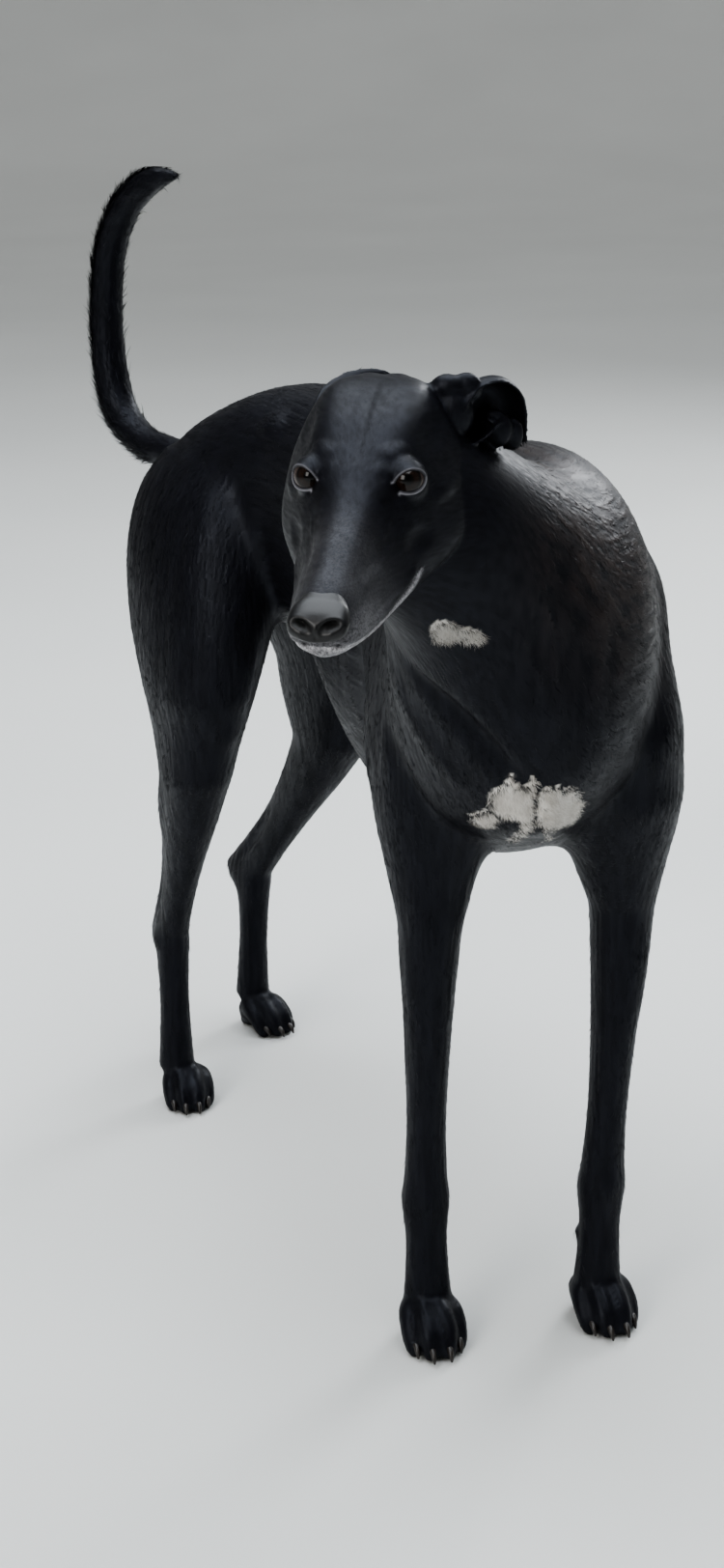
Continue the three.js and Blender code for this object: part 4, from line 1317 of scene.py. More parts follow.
def build_nose():
    """The leather with its nostrils and the furrow down to the lip; the inside of each nostril is marked for
    painted shade.
    """
    rows = blend(NOSE, np.linspace(0, len(NOSE) - 1, NOSE_ROWS))
    y, w, top, bottom = rows.T
    centre = np.stack([0 * y, y, (top + bottom) / 2], 1)
    half = (top - bottom) / 2
    side, up = np.tile([1.0, 0, 0], (NOSE_ROWS, 1)), np.tile([0, 0, 1.0], (NOSE_ROWS, 1))
    squareness = np.full(NOSE_ROWS, 2.4), np.full(NOSE_ROWS, 2.2)
    form = Form()
    form.rings(superellipse(centre, side, up, w, w, half, half, *squareness, NOSE_ROUND))
    surface = Surface(*arrays(fused(form, NOSE_GRAIN, "raw_nose")))
    surface.relax(0.5, 6, swell=1.02)
    dark = np.zeros(len(surface.points))
    for side in (1, -1):
        path = spline([(side * a, b, c) for a, b, c in NOSTRIL], 24)
        d, share = distance_to_line(surface.points, path)
        width = NOSTRIL_WIDTH[0] - NOSTRIL_WIDTH[1] * share
        depth = NOSTRIL_DEPTH[0] - NOSTRIL_DEPTH[1] * share
        inward = unit(np.array(NOSTRIL_ROOT) * (side, 1, 1) - surface.points)
        surface.points += inward * (np.exp(-(d / width) ** 2.6) * depth)[:, None]
        ridge = np.exp(-((d - width * 1.45) / 1.7) ** 2)
        surface.points += surface.normals() * (0.25 * ridge * (surface.points[:, 2] > -42))[:, None]
        # How far into a nostril a point lies; the leather there gets painted shade.
        dark = np.maximum(dark, np.exp(-(d / (width * 1.15)) ** 4))
    off_furrow = distance_to_line(surface.points, np.array(NOSE_FURROW))[0]
    surface.points -= surface.normals() * (NOSE_FURROW_DEPTH * np.exp(-off_furrow ** 2))[:, None]
    surface.relax(0.3, 2)
    surface.points = in_head(surface.points)
    nose = piece_of(surface, "nose_leather")
    store(nose.data, "nostril_shade", dark)
    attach(nose, BODY)
    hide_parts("nose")
    return nose


def build_claws():
    """A worn, curved claw out of every toe."""
    form = Form()
    for leg in LEGS.values():
        place = paw_frame(leg["paw"])
        for toe in TOES:
            x, y, _ = toe[-1]
            path = [(x, y + off, z) for off, z, _ in CLAW]
            form.rings(rod_rings(place(path), [radius for *_, radius in CLAW], 14, 16))
    claws = mesh_from("claws", form)
    at = np.array([v.co for v in claws.data.vertices])
    at[:, 2] = np.maximum(at[:, 2], 0.0003)
    claws.data.vertices.foreach_set("co", inside_cad(at).ravel())
    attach(claws, BODY)
    return claws


# The coat: thin blades of hair lying along the body.

# A blade starts this far under the skin, bends back by this share of its rise and narrows by this
# power; none goes lower than the last height. Each has a patch this wide on the unwrap of the skin.
ROOT_DEPTH, BEND_BACK, TAPER, LOWEST = 0.4, 0.45, 0.7, 0.3
UV_PATCH = 0.003


def pick_roots(count, density, seed):
    """Roots spread over the skin by density: place, normal, lie and nearest skin point of each."""
    surface, rng = WORK["surface"], np.random.default_rng(seed)
    mesh = surface.mesh
    mesh.calc_loop_triangles()
    tri = np.empty(len(mesh.loop_triangles) * 3, np.int64)
    mesh.loop_triangles.foreach_get("vertices", tri)
    tri = tri.reshape(-1, 3)
    p = surface.points
    area = np.linalg.norm(np.cross(p[tri[:, 1]] - p[tri[:, 0]], p[tri[:, 2]] - p[tri[:, 0]]), axis=1) / 2
    weight = area * density[tri].mean(1)
    chosen = rng.choice(len(tri), size=count, p=weight / weight.sum())
    a, b = rng.random(count), rng.random(count)
    flip = a + b > 1
    a[flip], b[flip] = 1 - a[flip], 1 - b[flip]
    share = np.stack([1 - a - b, a, b], 1)[..., None]
    corner = tri[chosen]
    root, normal, lie = ((values[corner] * share).sum(1) for values in (p, WORK["normals"], WORK["lie"]))
    return root, unit(normal), unit(lie), corner[:, 0], rng


def build_tufts(name, count, density, length, width, lift, segments, seed, stray=0.25):
    """One joined mesh of tapered blades; length, width and lift are values for each skin point."""
    root, normal, lie, corner, rng = pick_roots(count, density, seed)
    size = length[corner] * rng.uniform(0.7, 1.25, count)
    broad = width[corner] * rng.uniform(0.7, 1.3, count)
    raised = lift[corner] * rng.uniform(0.5, 1.4, count)
    side = np.cross(normal, lie)
    way = unit(lie + side * rng.normal(0, stray, count)[:, None])
    side = unit(np.cross(normal, way) + normal * rng.normal(0, 0.35, count)[:, None])
    sway = rng.normal(0, 0.12, count)
    places = np.linspace(0, 1, segments + 1)
    points, patch_uv, faces = [], [], []
    for s in places:
        middle = (root - normal * ROOT_DEPTH + way * (size * s)[:, None]
                  + normal * (size * (raised * s - BEND_BACK * raised * s * s))[:, None]
                  + side * (size * sway * s * s)[:, None])
        half = (broad * 0.5 * (1 - s) ** TAPER)[:, None]
        height = (s - 0.5) * UV_PATCH
        if s < 1:
            points += [middle - side * half, middle + side * half]
            patch_uv += [(-UV_PATCH / 2, height), (UV_PATCH / 2, height)]
        else:
            points.append(middle)
            patch_uv.append((0, height))
    per = len(points)
    stacked = np.stack(points, 1).reshape(-1, 3)
    base = np.arange(count)[:, None] * per
    for k in range(segments - 1):
        faces += (base + [[2 * k, 2 * k + 2, 2 * k + 3, 2 * k + 1]]).tolist()
    faces += (base + [[2 * segments - 2, 2 * segments, 2 * segments - 1]]).tolist()
    stacked[:, 2] = np.maximum(stacked[:, 2], LOWEST)
    tufts = mesh_object(name, inside_cad(metres(stacked)), faces)
    mesh = tufts.data
    for i, field in enumerate(MARKS):
        store(mesh, field, np.repeat(WORK["shares"][corner, i], per))
    tone = np.clip(0.6 * WORK["streak"][corner] + rng.normal(0, 0.6, count), -1.5, 1.5)
    store(mesh, "streak", np.repeat(tone, per))
    store(mesh, "bare", np.zeros(len(stacked)))
    home = skin_unwrap(root)
    corners = np.empty(len(mesh.loops), np.int64)
    mesh.loops.foreach_get("vertex_index", corners)
    uv = home[corners // per] + np.array(patch_uv)[corners % per]
    mesh.uv_layers.new(name="OFBake").data.foreach_set("uv", np.clip(uv, 0, 1).astype(np.float32).ravel())
    mesh.shade_smooth()
    shade = unit(np.repeat(normal, per, 0) + np.repeat(rng.normal(0, 0.16, (count, 3)), per, 0))
    mesh.normals_split_custom_set_from_vertices(shade.tolist())
    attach(tufts, BODY)
    return tufts


UNWRAP_GRAIN = 7.0


def skin_unwrap(points):
    """Places on an unwrap of a coarse copy of the skin, for points on it."""
    if "unwrap" not in WORK:
        surface = WORK["surface"]
        made = bpy.data.objects.new("unwrap", surface.mesh.copy())
        bpy.context.scene.collection.objects.link(made)
        made.data.vertices.foreach_set("co", surface.points.ravel())
        remesh = made.modifiers.new("coarse", "REMESH")
        remesh.mode, remesh.voxel_size = "VOXEL", UNWRAP_GRAIN
        graph = bpy.context.evaluated_depsgraph_get()
        mesh = bpy.data.meshes.new_from_object(made.evaluated_get(graph))
        made.modifiers.clear()
        made.data = mesh
        bpy.context.view_layer.objects.active = made
        for o in bpy.context.selected_objects:
            o.select_set(False)
        made.select_set(True)
        bpy.ops.object.mode_set(mode="EDIT")
        bpy.ops.mesh.select_all(action="SELECT")
        bpy.ops.uv.smart_project(angle_limit=math.radians(66), island_margin=0.004)
        bpy.ops.object.mode_set(mode="OBJECT")
        uv = np.empty(len(mesh.loops) * 2)
        mesh.uv_layers.active.data.foreach_get("uv", uv)
        uv = uv.reshape(-1, 2)
        starts = np.empty(len(mesh.polygons), np.int64)
        mesh.polygons.foreach_get("loop_start", starts)
        totals = np.empty(len(mesh.polygons), np.int64)
        mesh.polygons.foreach_get("loop_total", totals)
        middle = np.add.reduceat(uv, starts, axis=0) / totals[:, None]
        tree = BVHTree.FromPolygons([v.co for v in mesh.vertices],
                                    [list(f.vertices) for f in mesh.polygons])
        WORK["unwrap"] = (tree, middle)
        bpy.data.objects.remove(made, do_unlink=True)
    tree, middle = WORK["unwrap"]
    return middle[np.array([tree.find_nearest(p)[2] for p in points])]


def bald(points):
    """Where no hair grows: eyes and their rims, nose leather, soles."""
    local = to_head(points)
    bare = np.zeros(len(points))
    for side in (1, -1):
        turn, centre = eye_frame(side)
        q = (local - centre) @ turn
        bare = np.maximum(bare, soft(16, 12, np.linalg.norm(q[:, (0, 2)], axis=1)) * (q[:, 1] < 4))
    leather = soft(-103, -109, local[:, 1]) * soft(-56, -52, local[:, 2]) * head_share(points)
    return np.maximum(np.maximum(bare, leather), soft(6, 3, points[:, 2]))


# Length, width and closeness of the hair on the body, and what face and feet differ from it by.
HAIR_LENGTH, HAIR_WIDTH, HAIR_LIFT = (8.5, -5.6, -3.5), (0.8, -0.42, -0.25), 0.1
FACE_Y, FOOT_Z = (150, 105), (60, 25)


def build_coat(coat):
    """Short blades all over, longer ones on the tail and finer ones over the white patches."""
    p = WORK["surface"].points
    face = head_share(p) * soft(*FACE_Y, to_head(p)[:, 1])
    foot = soft(*FOOT_Z, p[:, 2])
    ones = np.ones(len(p))
    density = (1 + 1.6 * face) * (1 - bald(p))
    length, width = (body + on_face * face + on_foot * foot
                     for body, on_face, on_foot in (HAIR_LENGTH, HAIR_WIDTH))
    lift = HAIR_LIFT * ones
    share = coat.blades // coat.pieces
    made = [build_tufts(f"coat_short_{i + 1}", share, density, length, width, lift, 2, 20 + i)
            for i in range(coat.pieces)]
    made.append(build_tail_hair(coat))
    white = WORK["shares"][:, 0]
    rim = soft(0.02, 0.3, white) * (1 + 2 * soft(0.98, 0.6, white))
    made.append(build_tufts("coat_white", coat.white_blades, rim, 8 * ones, 0.5 * ones, 0.12 * ones,
                            3, 41, 0.3))
    return made


def build_tail_hair(coat):
    """Brushy hair, longest along the outer side of the tail and under its base."""
    p, n = WORK["surface"].points, WORK["normals"]
    on_tail = soft(392, 412, p[:, 1]) * soft(585, 600, p[:, 2])
    under_base = soft(0.2, -0.5, n[:, 2]) * soft(700, 640, p[:, 2])
    outer = np.clip(soft(-0.2, 0.6, n[:, 1]) + under_base, 0, 1)
    return build_tufts("coat_tail", coat.tail_blades, on_tail * (0.35 + outer), 10 + 9 * outer,
                       0.9 + 0 * outer, 0.16 + 0.12 * outer, 3, 61, 0.3)


# Materials.

def linear(hex_colour):
    """An sRGB hex value as linear colour."""
    value = hex_colour.lstrip("#")
    parts = [int(value[i:i + 2], 16) / 255 for i in (0, 2, 4)]
    return tuple(c / 12.92 if c <= 0.04045 else ((c + 0.055) / 1.055) ** 2.4 for c in parts) + (1.0,)


def per_metre(size_mm):
    """Scale of a pattern whose forms are this big."""
    return 1000 / size_mm


def add_node(tree, kind, settings=None, links=None, out=0):
    """A node with its settings, which are its own or its inputs' values, and its links; returns the
    output that goes on."""
    made = tree.nodes.new(kind)
    for name, value in (settings or {}).items():
        if isinstance(name, str) and hasattr(made, name):
            setattr(made, name, value)
        else:
            made.inputs[name].default_value = value
    for socket, source in (links or {}).items():
        tree.links.new(source, made.inputs[socket])
    return made.outputs[out]


def material(name, settings):
    """A material with the values that are the same all over it."""
    made = bpy.data.materials.new(name)
    made.use_nodes = True
    tree = made.node_tree
    shader = tree.nodes["Principled BSDF"]
    for socket, value in settings.items():
        shader.inputs[socket].default_value = value
    return made, tree, shader.inputs


def coat_material(name, coat, blades):
    """Short black greyhound coat, lying flat. The hair sheaths give it a broad, bluish shine and next
    to no colour of its own; some hairs end brownish on the neck and grey on the lips."""
    made, tree, inputs = material(name, {
        "IOR": 1.55,  # keratin
        "Specular IOR Level": coat.shine, "Specular Tint": (0.80, 0.86, 1.0, 1.0)})
    marks = {field: add_node(tree, "ShaderNodeAttribute", {"attribute_name": field}, out="Fac")
             for field in ("streak", "bare", *MARKS)}
    place = add_node(tree, "ShaderNodeTexCoord", out="Object")
    streak = add_node(tree, "ShaderNodeMapRange", {"From Min": -1.2, "From Max": 1.2},
                      {"Value": marks["streak"]})
    brown = add_node(tree, "ShaderNodeMath", {"operation": "MULTIPLY", "use_clamp": True},
                     {0: marks["brown"], 1: streak})
    # Grey and black hairs stand side by side, in specks of 1.6 mm so that they show.
    specks = add_node(tree, "ShaderNodeTexNoise",
                      {"Scale": per_metre(1.6), "Detail": 3.0, "Roughness": 0.7}, {"Vector": place})
    specks = add_node(tree, "ShaderNodeMapRange",
                      {"From Min": 0.35, "From Max": 0.62, "To Min": 0.3, "To Max": 1.1}, {"Value": specks})
    grey = add_node(tree, "ShaderNodeMath", {"operation": "MULTIPLY", "use_clamp": True},
                    {0: marks["grey"], 1: specks})
    # The lids' pale rims, painted pale grey below: partly pale hair, partly a painted highlight of the wet
    # lid margin.
    rim = add_node(tree, "ShaderNodeMath", {"operation": "MULTIPLY", 1: 0.75}, {0: marks["rim"]})
    white = add_node(tree, "ShaderNodeMix",
                     {"data_type": "RGBA", 6: (*coat.white_shade, 1), 7: (*coat.white, 1)}, {0: streak}, 2)
    colour = add_node(tree, "ShaderNodeMix",
                      {"data_type": "RGBA", 6: (*coat.black, 1), 7: (*coat.black_light, 1)}, {0: streak}, 2)
    for share, fixed, linked in (
            (brown, {7: (*coat.brown, 1)}, {}), (grey, {7: (*coat.grey, 1)}, {}),
            (marks["white"], {}, {7: white}), (marks["bare"], {7: linear("#08070a")}, {}),
            # Pale grey of the lids' rims, partly a painted highlight of the wet lid margin.
            (rim, {7: linear("#a3a2a8")}, {})):
        colour = add_node(tree, "ShaderNodeMix", {"data_type": "RGBA", **fixed},
                          {0: share, 6: colour, **linked}, 2)
    tree.links.new(colour, inputs["Base Color"])
    tree.links.new(add_node(tree, "ShaderNodeMapRange", {"To Min": 0.52, "To Max": 0.38}, {"Value": streak}),
                   inputs["Roughness"])
    if not blades:
        # Hairs are 0.06 mm thick; drawn 1.2 mm wide they still show as a nap.
        nap = add_node(tree, "ShaderNodeTexNoise",
                       {"Scale": per_metre(1.2), "Detail": 2.0, "Roughness": 0.6}, {"Vector": place})
        relief = add_node(tree, "ShaderNodeAttribute", {"attribute_name": "relief"}, out="Fac")
        clumps = add_node(tree, "ShaderNodeBump", {"Strength": 0.4, "Distance": 0.0005}, {"Height": relief})
        bump = add_node(tree, "ShaderNodeBump", {"Strength": 0.3, "Distance": 0.0002},
                        {"Height": nap, "Normal": clumps})
        tree.links.new(bump, inputs["Normal"])
    return made


def eye_material():
    """Dark brown eye under a wet cornea: a black pupil, fibres in the iris, a dark edge, then the
    white with a little brown. The tear film gives a sharp reflection."""
    made, tree, inputs = material("dark_brown_eye", {
        "Roughness": 0.2, "IOR": 1.38,  # cornea
        "Specular IOR Level": 0.15, "Coat Weight": 0.4, "Coat Roughness": 0.02})
    off, x, y = (add_node(tree, "ShaderNodeAttribute", {"attribute_name": field}, out="Fac")
                 for field in ("off_centre", "round_x", "round_y"))
    ways = add_node(tree, "ShaderNodeCombineXYZ", None, {"X": x, "Y": y})
    fibres = add_node(tree, "ShaderNodeTexNoise", {"Scale": 9.0, "Detail": 4.0}, {"Vector": ways})
    iris = add_node(tree, "ShaderNodeMix",
                    {"data_type": "RGBA", 6: linear("#0a0605"), 7: linear("#24160f")}, {0: fibres}, 2)
    # Where the pupil goes over into the iris, the iris into its dark edge, that into the white and
    # the white into the brown round it, in mm from the middle.
    shares = [add_node(tree, "ShaderNodeMapRange",
                       {"interpolation_type": "SMOOTHSTEP", "From Min": start, "From Max": end},
                       {"Value": off})
              for start, end in ((3.2, 3.9), (7.2, 8.6), (9.4, 10.4), (11.5, 14.0))]
    colour = add_node(tree, "ShaderNodeMix", {"data_type": "RGBA", 6: linear("#020202")},
                      {0: shares[0], 7: iris}, 2)
    for share, outer in zip(shares[1:], ("#080505", "#352c29", "#3d2c26")):
        colour = add_node(tree, "ShaderNodeMix", {"data_type": "RGBA", 7: linear(outer)},
                          {0: share, 6: colour}, 2)
    tree.links.new(colour, inputs["Base Color"])
    return made


def leather_material():
    """Bare black nose skin: small raised plates with a damp film on them. The nostrils are painted near black
    as painted shade in their hollows, and they are rougher.
    """
    made, tree, inputs = material("nose_skin", {
        "Specular IOR Level": 0.4, "Coat Weight": 0.1, "Coat Roughness": 0.22})
    place = add_node(tree, "ShaderNodeTexCoord", out="Object")
    nostril_shade = add_node(tree, "ShaderNodeAttribute", {"attribute_name": "nostril_shade"}, out="Fac")
    plates = add_node(tree, "ShaderNodeTexVoronoi",
                      {"feature": "DISTANCE_TO_EDGE", "Scale": per_metre(1.1)}, {"Vector": place},
                      "Distance")
    height = add_node(tree, "ShaderNodeMapRange", {"From Max": 0.25}, {"Value": plates})
    tree.links.new(add_node(tree, "ShaderNodeBump", {"Strength": 0.16, "Distance": 0.00015},
                            {"Height": height}), inputs["Normal"])
    clouds = add_node(tree, "ShaderNodeTexNoise", {"Scale": per_metre(6)}, {"Vector": place})
    black = add_node(tree, "ShaderNodeMix",
                     {"data_type": "RGBA", 6: linear("#060608"), 7: linear("#0c0c10")}, {0: clouds}, 2)
    # Painted shade: the nostrils' hollows are painted near black.
    tree.links.new(add_node(tree, "ShaderNodeMix", {"data_type": "RGBA", 7: linear("#010101")},
                            {0: nostril_shade, 6: black}, 2), inputs["Base Color"])
    tree.links.new(add_node(tree, "ShaderNodeMapRange", {"To Min": 0.36, "To Max": 0.9}, {"Value": nostril_shade}),
                   inputs["Roughness"])
    return made


def horn_material():
    """Dark claw horn: smooth, faintly streaked, with a dull shine."""
    made, tree, inputs = material("claw_horn", {"Roughness": 0.38, "IOR": 1.54})
    place = add_node(tree, "ShaderNodeTexCoord", out="Object")
    streaks = add_node(tree, "ShaderNodeTexNoise", {"Scale": per_metre(2.5), "Detail": 3.0},
                       {"Vector": place})
    tree.links.new(add_node(tree, "ShaderNodeMix",
                            {"data_type": "RGBA", 6: linear("#121010"), 7: linear("#2c2622")},
                            {0: streaks}, 2), inputs["Base Color"])
    return made


def floor_material(stage):
    """Matt pale studio floor, clouded so faintly that it only looks less like paper."""
    made, tree, inputs = material("pale_floor", {"Roughness": 0.85})
    place = add_node(tree, "ShaderNodeTexCoord", out="Object")
    clouds = add_node(tree, "ShaderNodeTexNoise", {"Scale": per_metre(900)}, {"Vector": place})
    tree.links.new(add_node(tree, "ShaderNodeMix",
                            {"data_type": "RGBA", 6: (*stage.floor_colour, 1), 7: linear("#c9cac8")},
                            {0: clouds}, 2), inputs["Base Color"])
    return made


# The stage. The camera looks from the photo's place, in the dog's own frame.
CAMERA = {"azimuth": -25.7, "pitch": 18.4, "distance": 1920, "aside": -78, "height": 1030, "roll": -1.0,
          "focal_px": 2500, "photo_height_px": 1624, "sensor": 36}
# Softboxes in metres: place, what they face, width and height, tint.
SOFTBOXES = {
    "softbox_over": ((0.1, 0.1, 3.4), (0, 0, 0.4), (3.6, 3.6), (0.90, 0.95, 1.0)),
    "softbox_left": ((-3.2, -1.8, 2.2), (0, 0, 0.5), (1.6, 2.2), (1.0, 0.98, 0.95)),
    "softbox_right": ((3.0, 1.6, 2.3), (0, 0, 0.6), (1.2, 2.0), (0.94, 0.97, 1.0)),
}
SKY_SPREAD, SKY_TILT = math.radians(80), (math.radians(22), math.radians(-16), 0)
# The floor's points round, steps of its sweep, and radius of its innermost ring in metres.
FLOOR_ROUND, SWEEP_STEPS, INNER_RING = 96, 16, 0.02


def camera_axes():
    """Place of the camera, and its ways to the right, up and ahead."""
    a, e, roll = (math.radians(CAMERA[k]) for k in ("azimuth", "pitch", "roll"))
    ahead = np.array((-math.sin(a) * math.cos(e), math.cos(a) * math.cos(e), -math.sin(e)))
    right = np.array((math.cos(a), math.sin(a), 0))
    up = np.cross(right, ahead)
    back = np.array((math.sin(a), -math.cos(a), 0))
    place = back * CAMERA["distance"] + right * CAMERA["aside"] + np.array((0, 0, CAMERA["height"]))
    return (place, right * math.cos(roll) + up * math.sin(roll),
            -right * math.sin(roll) + up * math.cos(roll), ahead)


STAGE_CAMERA = camera_axes()[0]


def build_floor(stage):
    """A level floor that rises far off in one round sweep, so no horizon shows."""
    around = np.linspace(0, 2 * math.pi, FLOOR_ROUND, endpoint=False)
    level = curve = stage.floor_radius
    profile = [(INNER_RING, 0.0)]
    profile += [(level + curve * math.sin(a), curve * (1 - math.cos(a)))
                for a in np.linspace(0, math.pi / 2, SWEEP_STEPS)]
    profile.append((level + curve, curve * 3))
    form = Form()
    form.rings(np.array([[(r * math.cos(a), r * math.sin(a), z) for a in around] for r, z in profile]))
    floor = mesh_object("floor", np.concatenate(form.points), form.faces[:-1])
    floor.data.flip_normals()
    floor.data.shade_smooth()
    floor.data.materials.append(floor_material(stage))


def add_lamp(kind, name):
    """A new light and its object."""
    lamp = bpy.data.lights.new(name, kind)
    made = bpy.data.objects.new(name, lamp)
    bpy.context.scene.collection.objects.link(made)
    return made, lamp


def build_lights(stage):
    """Softboxes above and on both sides, and a broad even light over the whole floor."""
    scene = bpy.context.scene
    scene.view_settings.look = "AgX - Medium High Contrast"
    world = scene.world or bpy.data.worlds.new("studio")
    scene.world = world
    world.use_nodes = True
    back = world.node_tree.nodes["Background"]
    back.inputs["Color"].default_value = linear("#dfe3e8")
    back.inputs["Strength"].default_value = stage.surround
    for name, (place, target, size, tint) in SOFTBOXES.items():
        made, lamp = add_lamp("AREA", name)
        lamp.shape, lamp.size, lamp.size_y = "RECTANGLE", *size
        lamp.energy = stage.over_power if name == "softbox_over" else stage.side_power
        lamp.color = tint
        made.location = place
        made.rotation_euler = (Vector(target) - Vector(place)).to_track_quat("-Z", "Y").to_euler()
    made, lamp = add_lamp("SUN", "soft_sky")
    lamp.energy, lamp.angle = stage.sky_strength, SKY_SPREAD
    made.rotation_euler = SKY_TILT


def place_camera():
    """The camera with the photo's viewing angle and field of view."""
    place, right, up, ahead = camera_axes()
    lens = bpy.data.cameras.new("camera")
    lens.sensor_width = CAMERA["sensor"]
    lens.lens = CAMERA["focal_px"] / CAMERA["photo_height_px"] * CAMERA["sensor"]
    camera = bpy.data.objects.new("camera", lens)
    bpy.context.scene.collection.objects.link(camera)
    turn = Matrix((right, up, -ahead)).transposed().to_4x4()
    camera.matrix_world = Matrix.Translation(metres([place])[0]) @ turn
    bpy.context.scene.camera = camera


# Settings, operators and panel.

class GreyhoundSizes(bpy.types.PropertyGroup):
    body_grain: bpy.props.FloatProperty(
        name="Body grain", description="Size of the skin's faces on the body", default=0.003,
        unit="LENGTH", precision=4)
    head_grain: bpy.props.FloatProperty(
        name="Head grain", description="Size of the skin's faces on the head", default=0.0013,
        unit="LENGTH", precision=4)
    coat_depth: bpy.props.FloatProperty(
        name="Coat depth", description="How far the skin lies under the coat", default=0.0011,
        unit="LENGTH", precision=4)
    eye_radius: bpy.props.FloatProperty(
        name="Eye radius", description="Half the width of an eyeball",
        default=(EYE_BOX[1].z - EYE_BOX[0].z) / 2, unit="LENGTH", precision=4)
    lid_thickness: bpy.props.FloatProperty(
        name="Lid thickness", description="Thickness of the lids over the eyeball", default=0.0013,
        unit="LENGTH", precision=4)
    gaze: bpy.props.FloatProperty(
        name="Gaze", description="How far the eyes turn to the camera, from 0 to 1", default=0.75,
        min=0, max=1, subtype="FACTOR")


class GreyhoundCoat(bpy.types.PropertyGroup):
    blades: bpy.props.IntProperty(
        name="Blades", description="Number of short blades of hair over the body", default=300000)
    pieces: bpy.props.IntProperty(
        name="Pieces", description="Number of meshes that the short blades are spread over", default=5)
    white_blades: bpy.props.IntProperty(
        name="White blades", description="Number of blades over the white patches", default=16000)
    tail_blades: bpy.props.IntProperty(
        name="Tail blades", description="Number of longer blades on the tail", default=9000)
    shine: bpy.props.FloatProperty(
        name="Shine", description="How much the flat hair mirrors the light", default=0.17, min=0, max=1,
        subtype="FACTOR")
    black: bpy.props.FloatVectorProperty(
        name="Black", description="Colour of the coat", subtype="COLOR", default=linear("#070609")[:3])
    black_light: bpy.props.FloatVectorProperty(
        name="Black, lighter", description="Lighter clumps of the coat", subtype="COLOR",
        default=linear("#121217")[:3])
    brown: bpy.props.FloatVectorProperty(
        name="Brown", description="Faded hair on the neck and shoulder", subtype="COLOR",
        default=linear("#2c2421")[:3])
    # The grey also paints a faint sheen over the muzzle ahead of the eyes.
    grey: bpy.props.FloatVectorProperty(
        name="Grey", description="Grey hair on lips, chin and muzzle", subtype="COLOR",
        default=linear("#c9c7ca")[:3])
    white: bpy.props.FloatVectorProperty(
        name="White", description="White patch on the chest", subtype="COLOR",
        default=linear("#e6e2dc")[:3])
    white_shade: bpy.props.FloatVectorProperty(
        name="White, shaded", description="Shaded hairs of the white patch", subtype="COLOR",
        default=linear("#bdb6ad")[:3])


class GreyhoundStage(bpy.types.PropertyGroup):
    floor_radius: bpy.props.FloatProperty(
        name="Floor radius", description="How far the floor is level", default=9, unit="LENGTH")
    floor_colour: bpy.props.FloatVectorProperty(
        name="Floor colour", description="Colour of the floor", subtype="COLOR",
        default=linear("#d6d7d5")[:3])
    surround: bpy.props.FloatProperty(
        name="Surround", description="Strength of the light from all round", default=0.36)
    over_power: bpy.props.FloatProperty(
        name="Light from above", description="Power of the large softbox", default=170, unit="POWER")
    sky_strength: bpy.props.FloatProperty(
        name="Sky", description="Strength of the broad light that reaches the whole floor", default=1.1)
    side_power: bpy.props.FloatProperty(
        name="Light from the sides", description="Power of each side softbox", default=75, unit="POWER")


class GREYHOUND_OT_stage(bpy.types.Operator):
    """Lay the pale floor, set the soft lights and place the camera"""
    bl_idname = "greyhound.stage"
    bl_label = "Stage"

    def execute(self, context):
        build_floor(context.scene.greyhound_stage)
        build_lights(context.scene.greyhound_stage)
        place_camera()
        return {"FINISHED"}


class GREYHOUND_OT_skin(bpy.types.Operator):
    """Fuse trunk, limbs, head and tail into one skin and sculpt it"""
    bl_idname = "greyhound.skin"
    bl_label = "Skin"

    def execute(self, context):
        skin = build_skin(context.scene.greyhound_sizes)
        skin.data.materials.append(coat_material("black_coat", context.scene.greyhound_coat, False))
        return {"FINISHED"}


class GREYHOUND_OT_eyes(bpy.types.Operator):
    """Set both eyeballs between the lids"""
    bl_idname = "greyhound.eyes"
    bl_label = "Eyes"

    def execute(self, context):
        finish = eye_material()
        for eye in build_eyes(context.scene.greyhound_sizes):
            eye.data.materials.append(finish)
        return {"FINISHED"}


class GREYHOUND_OT_nose(bpy.types.Operator):
    """Model the nose leather with its nostrils"""
    bl_idname = "greyhound.nose"
    bl_label = "Nose"

    def execute(self, context):
        build_nose().data.materials.append(leather_material())
        return {"FINISHED"}


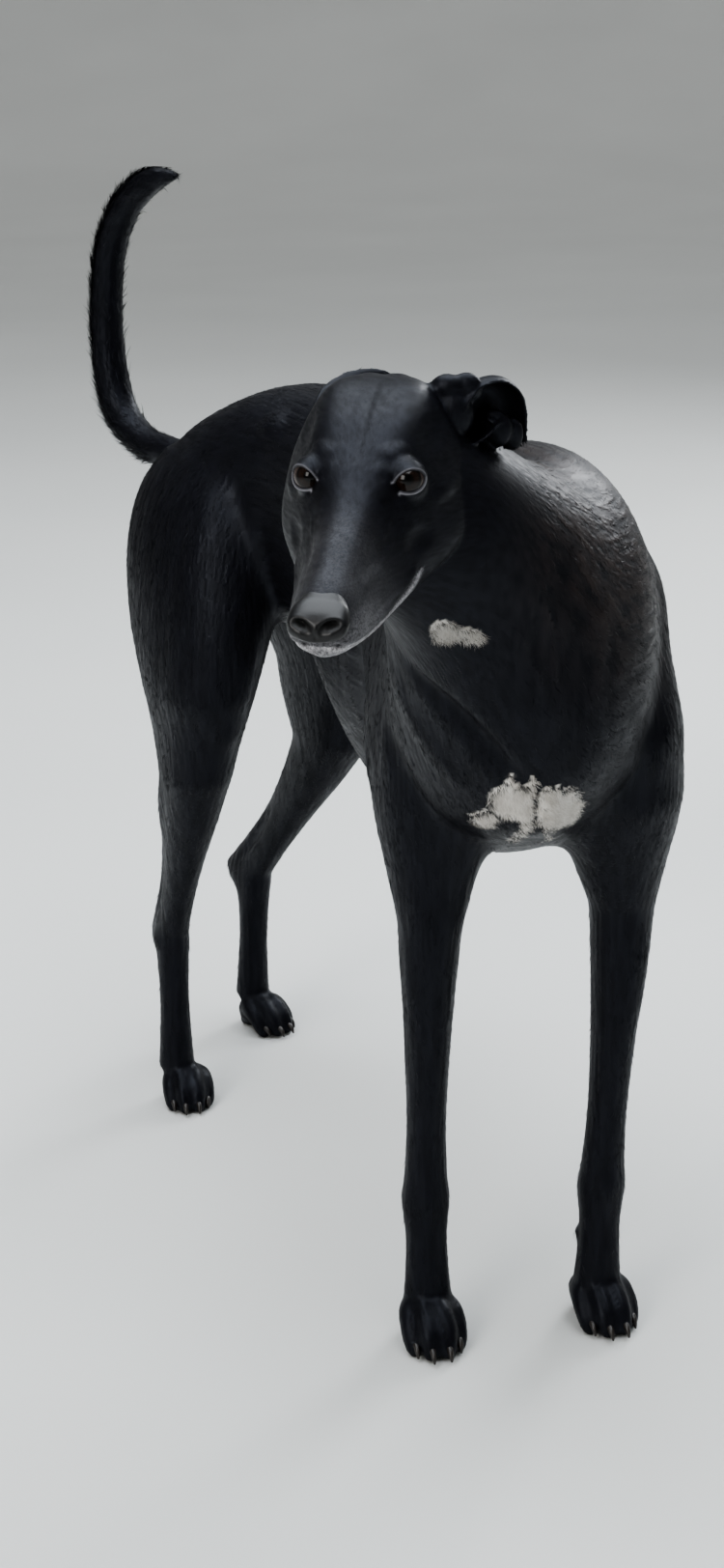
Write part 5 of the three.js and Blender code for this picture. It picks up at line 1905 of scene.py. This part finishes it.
class GREYHOUND_OT_claws(bpy.types.Operator):
    """Grow a claw out of every toe"""
    bl_idname = "greyhound.claws"
    bl_label = "Claws"

    def execute(self, context):
        build_claws().data.materials.append(horn_material())
        return {"FINISHED"}


class GREYHOUND_OT_coat(bpy.types.Operator):
    """Lay the short coat over the skin, with longer hair on the tail"""
    bl_idname = "greyhound.coat"
    bl_label = "Coat"

    def execute(self, context):
        finish = coat_material("black_hair", context.scene.greyhound_coat, True)
        for piece in build_coat(context.scene.greyhound_coat):
            piece.data.materials.append(finish)
        return {"FINISHED"}


class GREYHOUND_PT_panel(bpy.types.Panel):
    """Everything that builds the greyhound"""
    bl_idname = "GREYHOUND_PT_panel"
    bl_label = "Greyhound"
    bl_space_type = "VIEW_3D"
    bl_region_type = "UI"
    bl_category = "Greyhound"

    def draw(self, context):
        for group in ("greyhound_sizes", "greyhound_coat", "greyhound_stage"):
            settings = getattr(context.scene, group)
            box = self.layout.box()
            for name in settings.__annotations__:
                box.prop(settings, name)
        for step in STEPS:
            self.layout.operator(step)


STEPS = ("greyhound.stage", "greyhound.skin", "greyhound.eyes", "greyhound.nose", "greyhound.claws",
         "greyhound.coat")
GROUPS = {"greyhound_sizes": GreyhoundSizes, "greyhound_coat": GreyhoundCoat,
          "greyhound_stage": GreyhoundStage}
CLASSES = (*GROUPS.values(), GREYHOUND_OT_stage, GREYHOUND_OT_skin, GREYHOUND_OT_eyes, GREYHOUND_OT_nose,
           GREYHOUND_OT_claws, GREYHOUND_OT_coat, GREYHOUND_PT_panel)


def register():
    for each in CLASSES:
        bpy.utils.register_class(each)
    for name, group in GROUPS.items():
        setattr(bpy.types.Scene, name, bpy.props.PointerProperty(type=group))


def unregister():
    for name in GROUPS:
        delattr(bpy.types.Scene, name)
    for each in reversed(CLASSES):
        bpy.utils.unregister_class(each)


def main():
    """Builds everything."""
    register()
    for step in STEPS:
        group, name = step.split(".")
        getattr(getattr(bpy.ops, group), name)()
    bpy.context.view_layer.update()


if __name__ == "__main__":
    main()
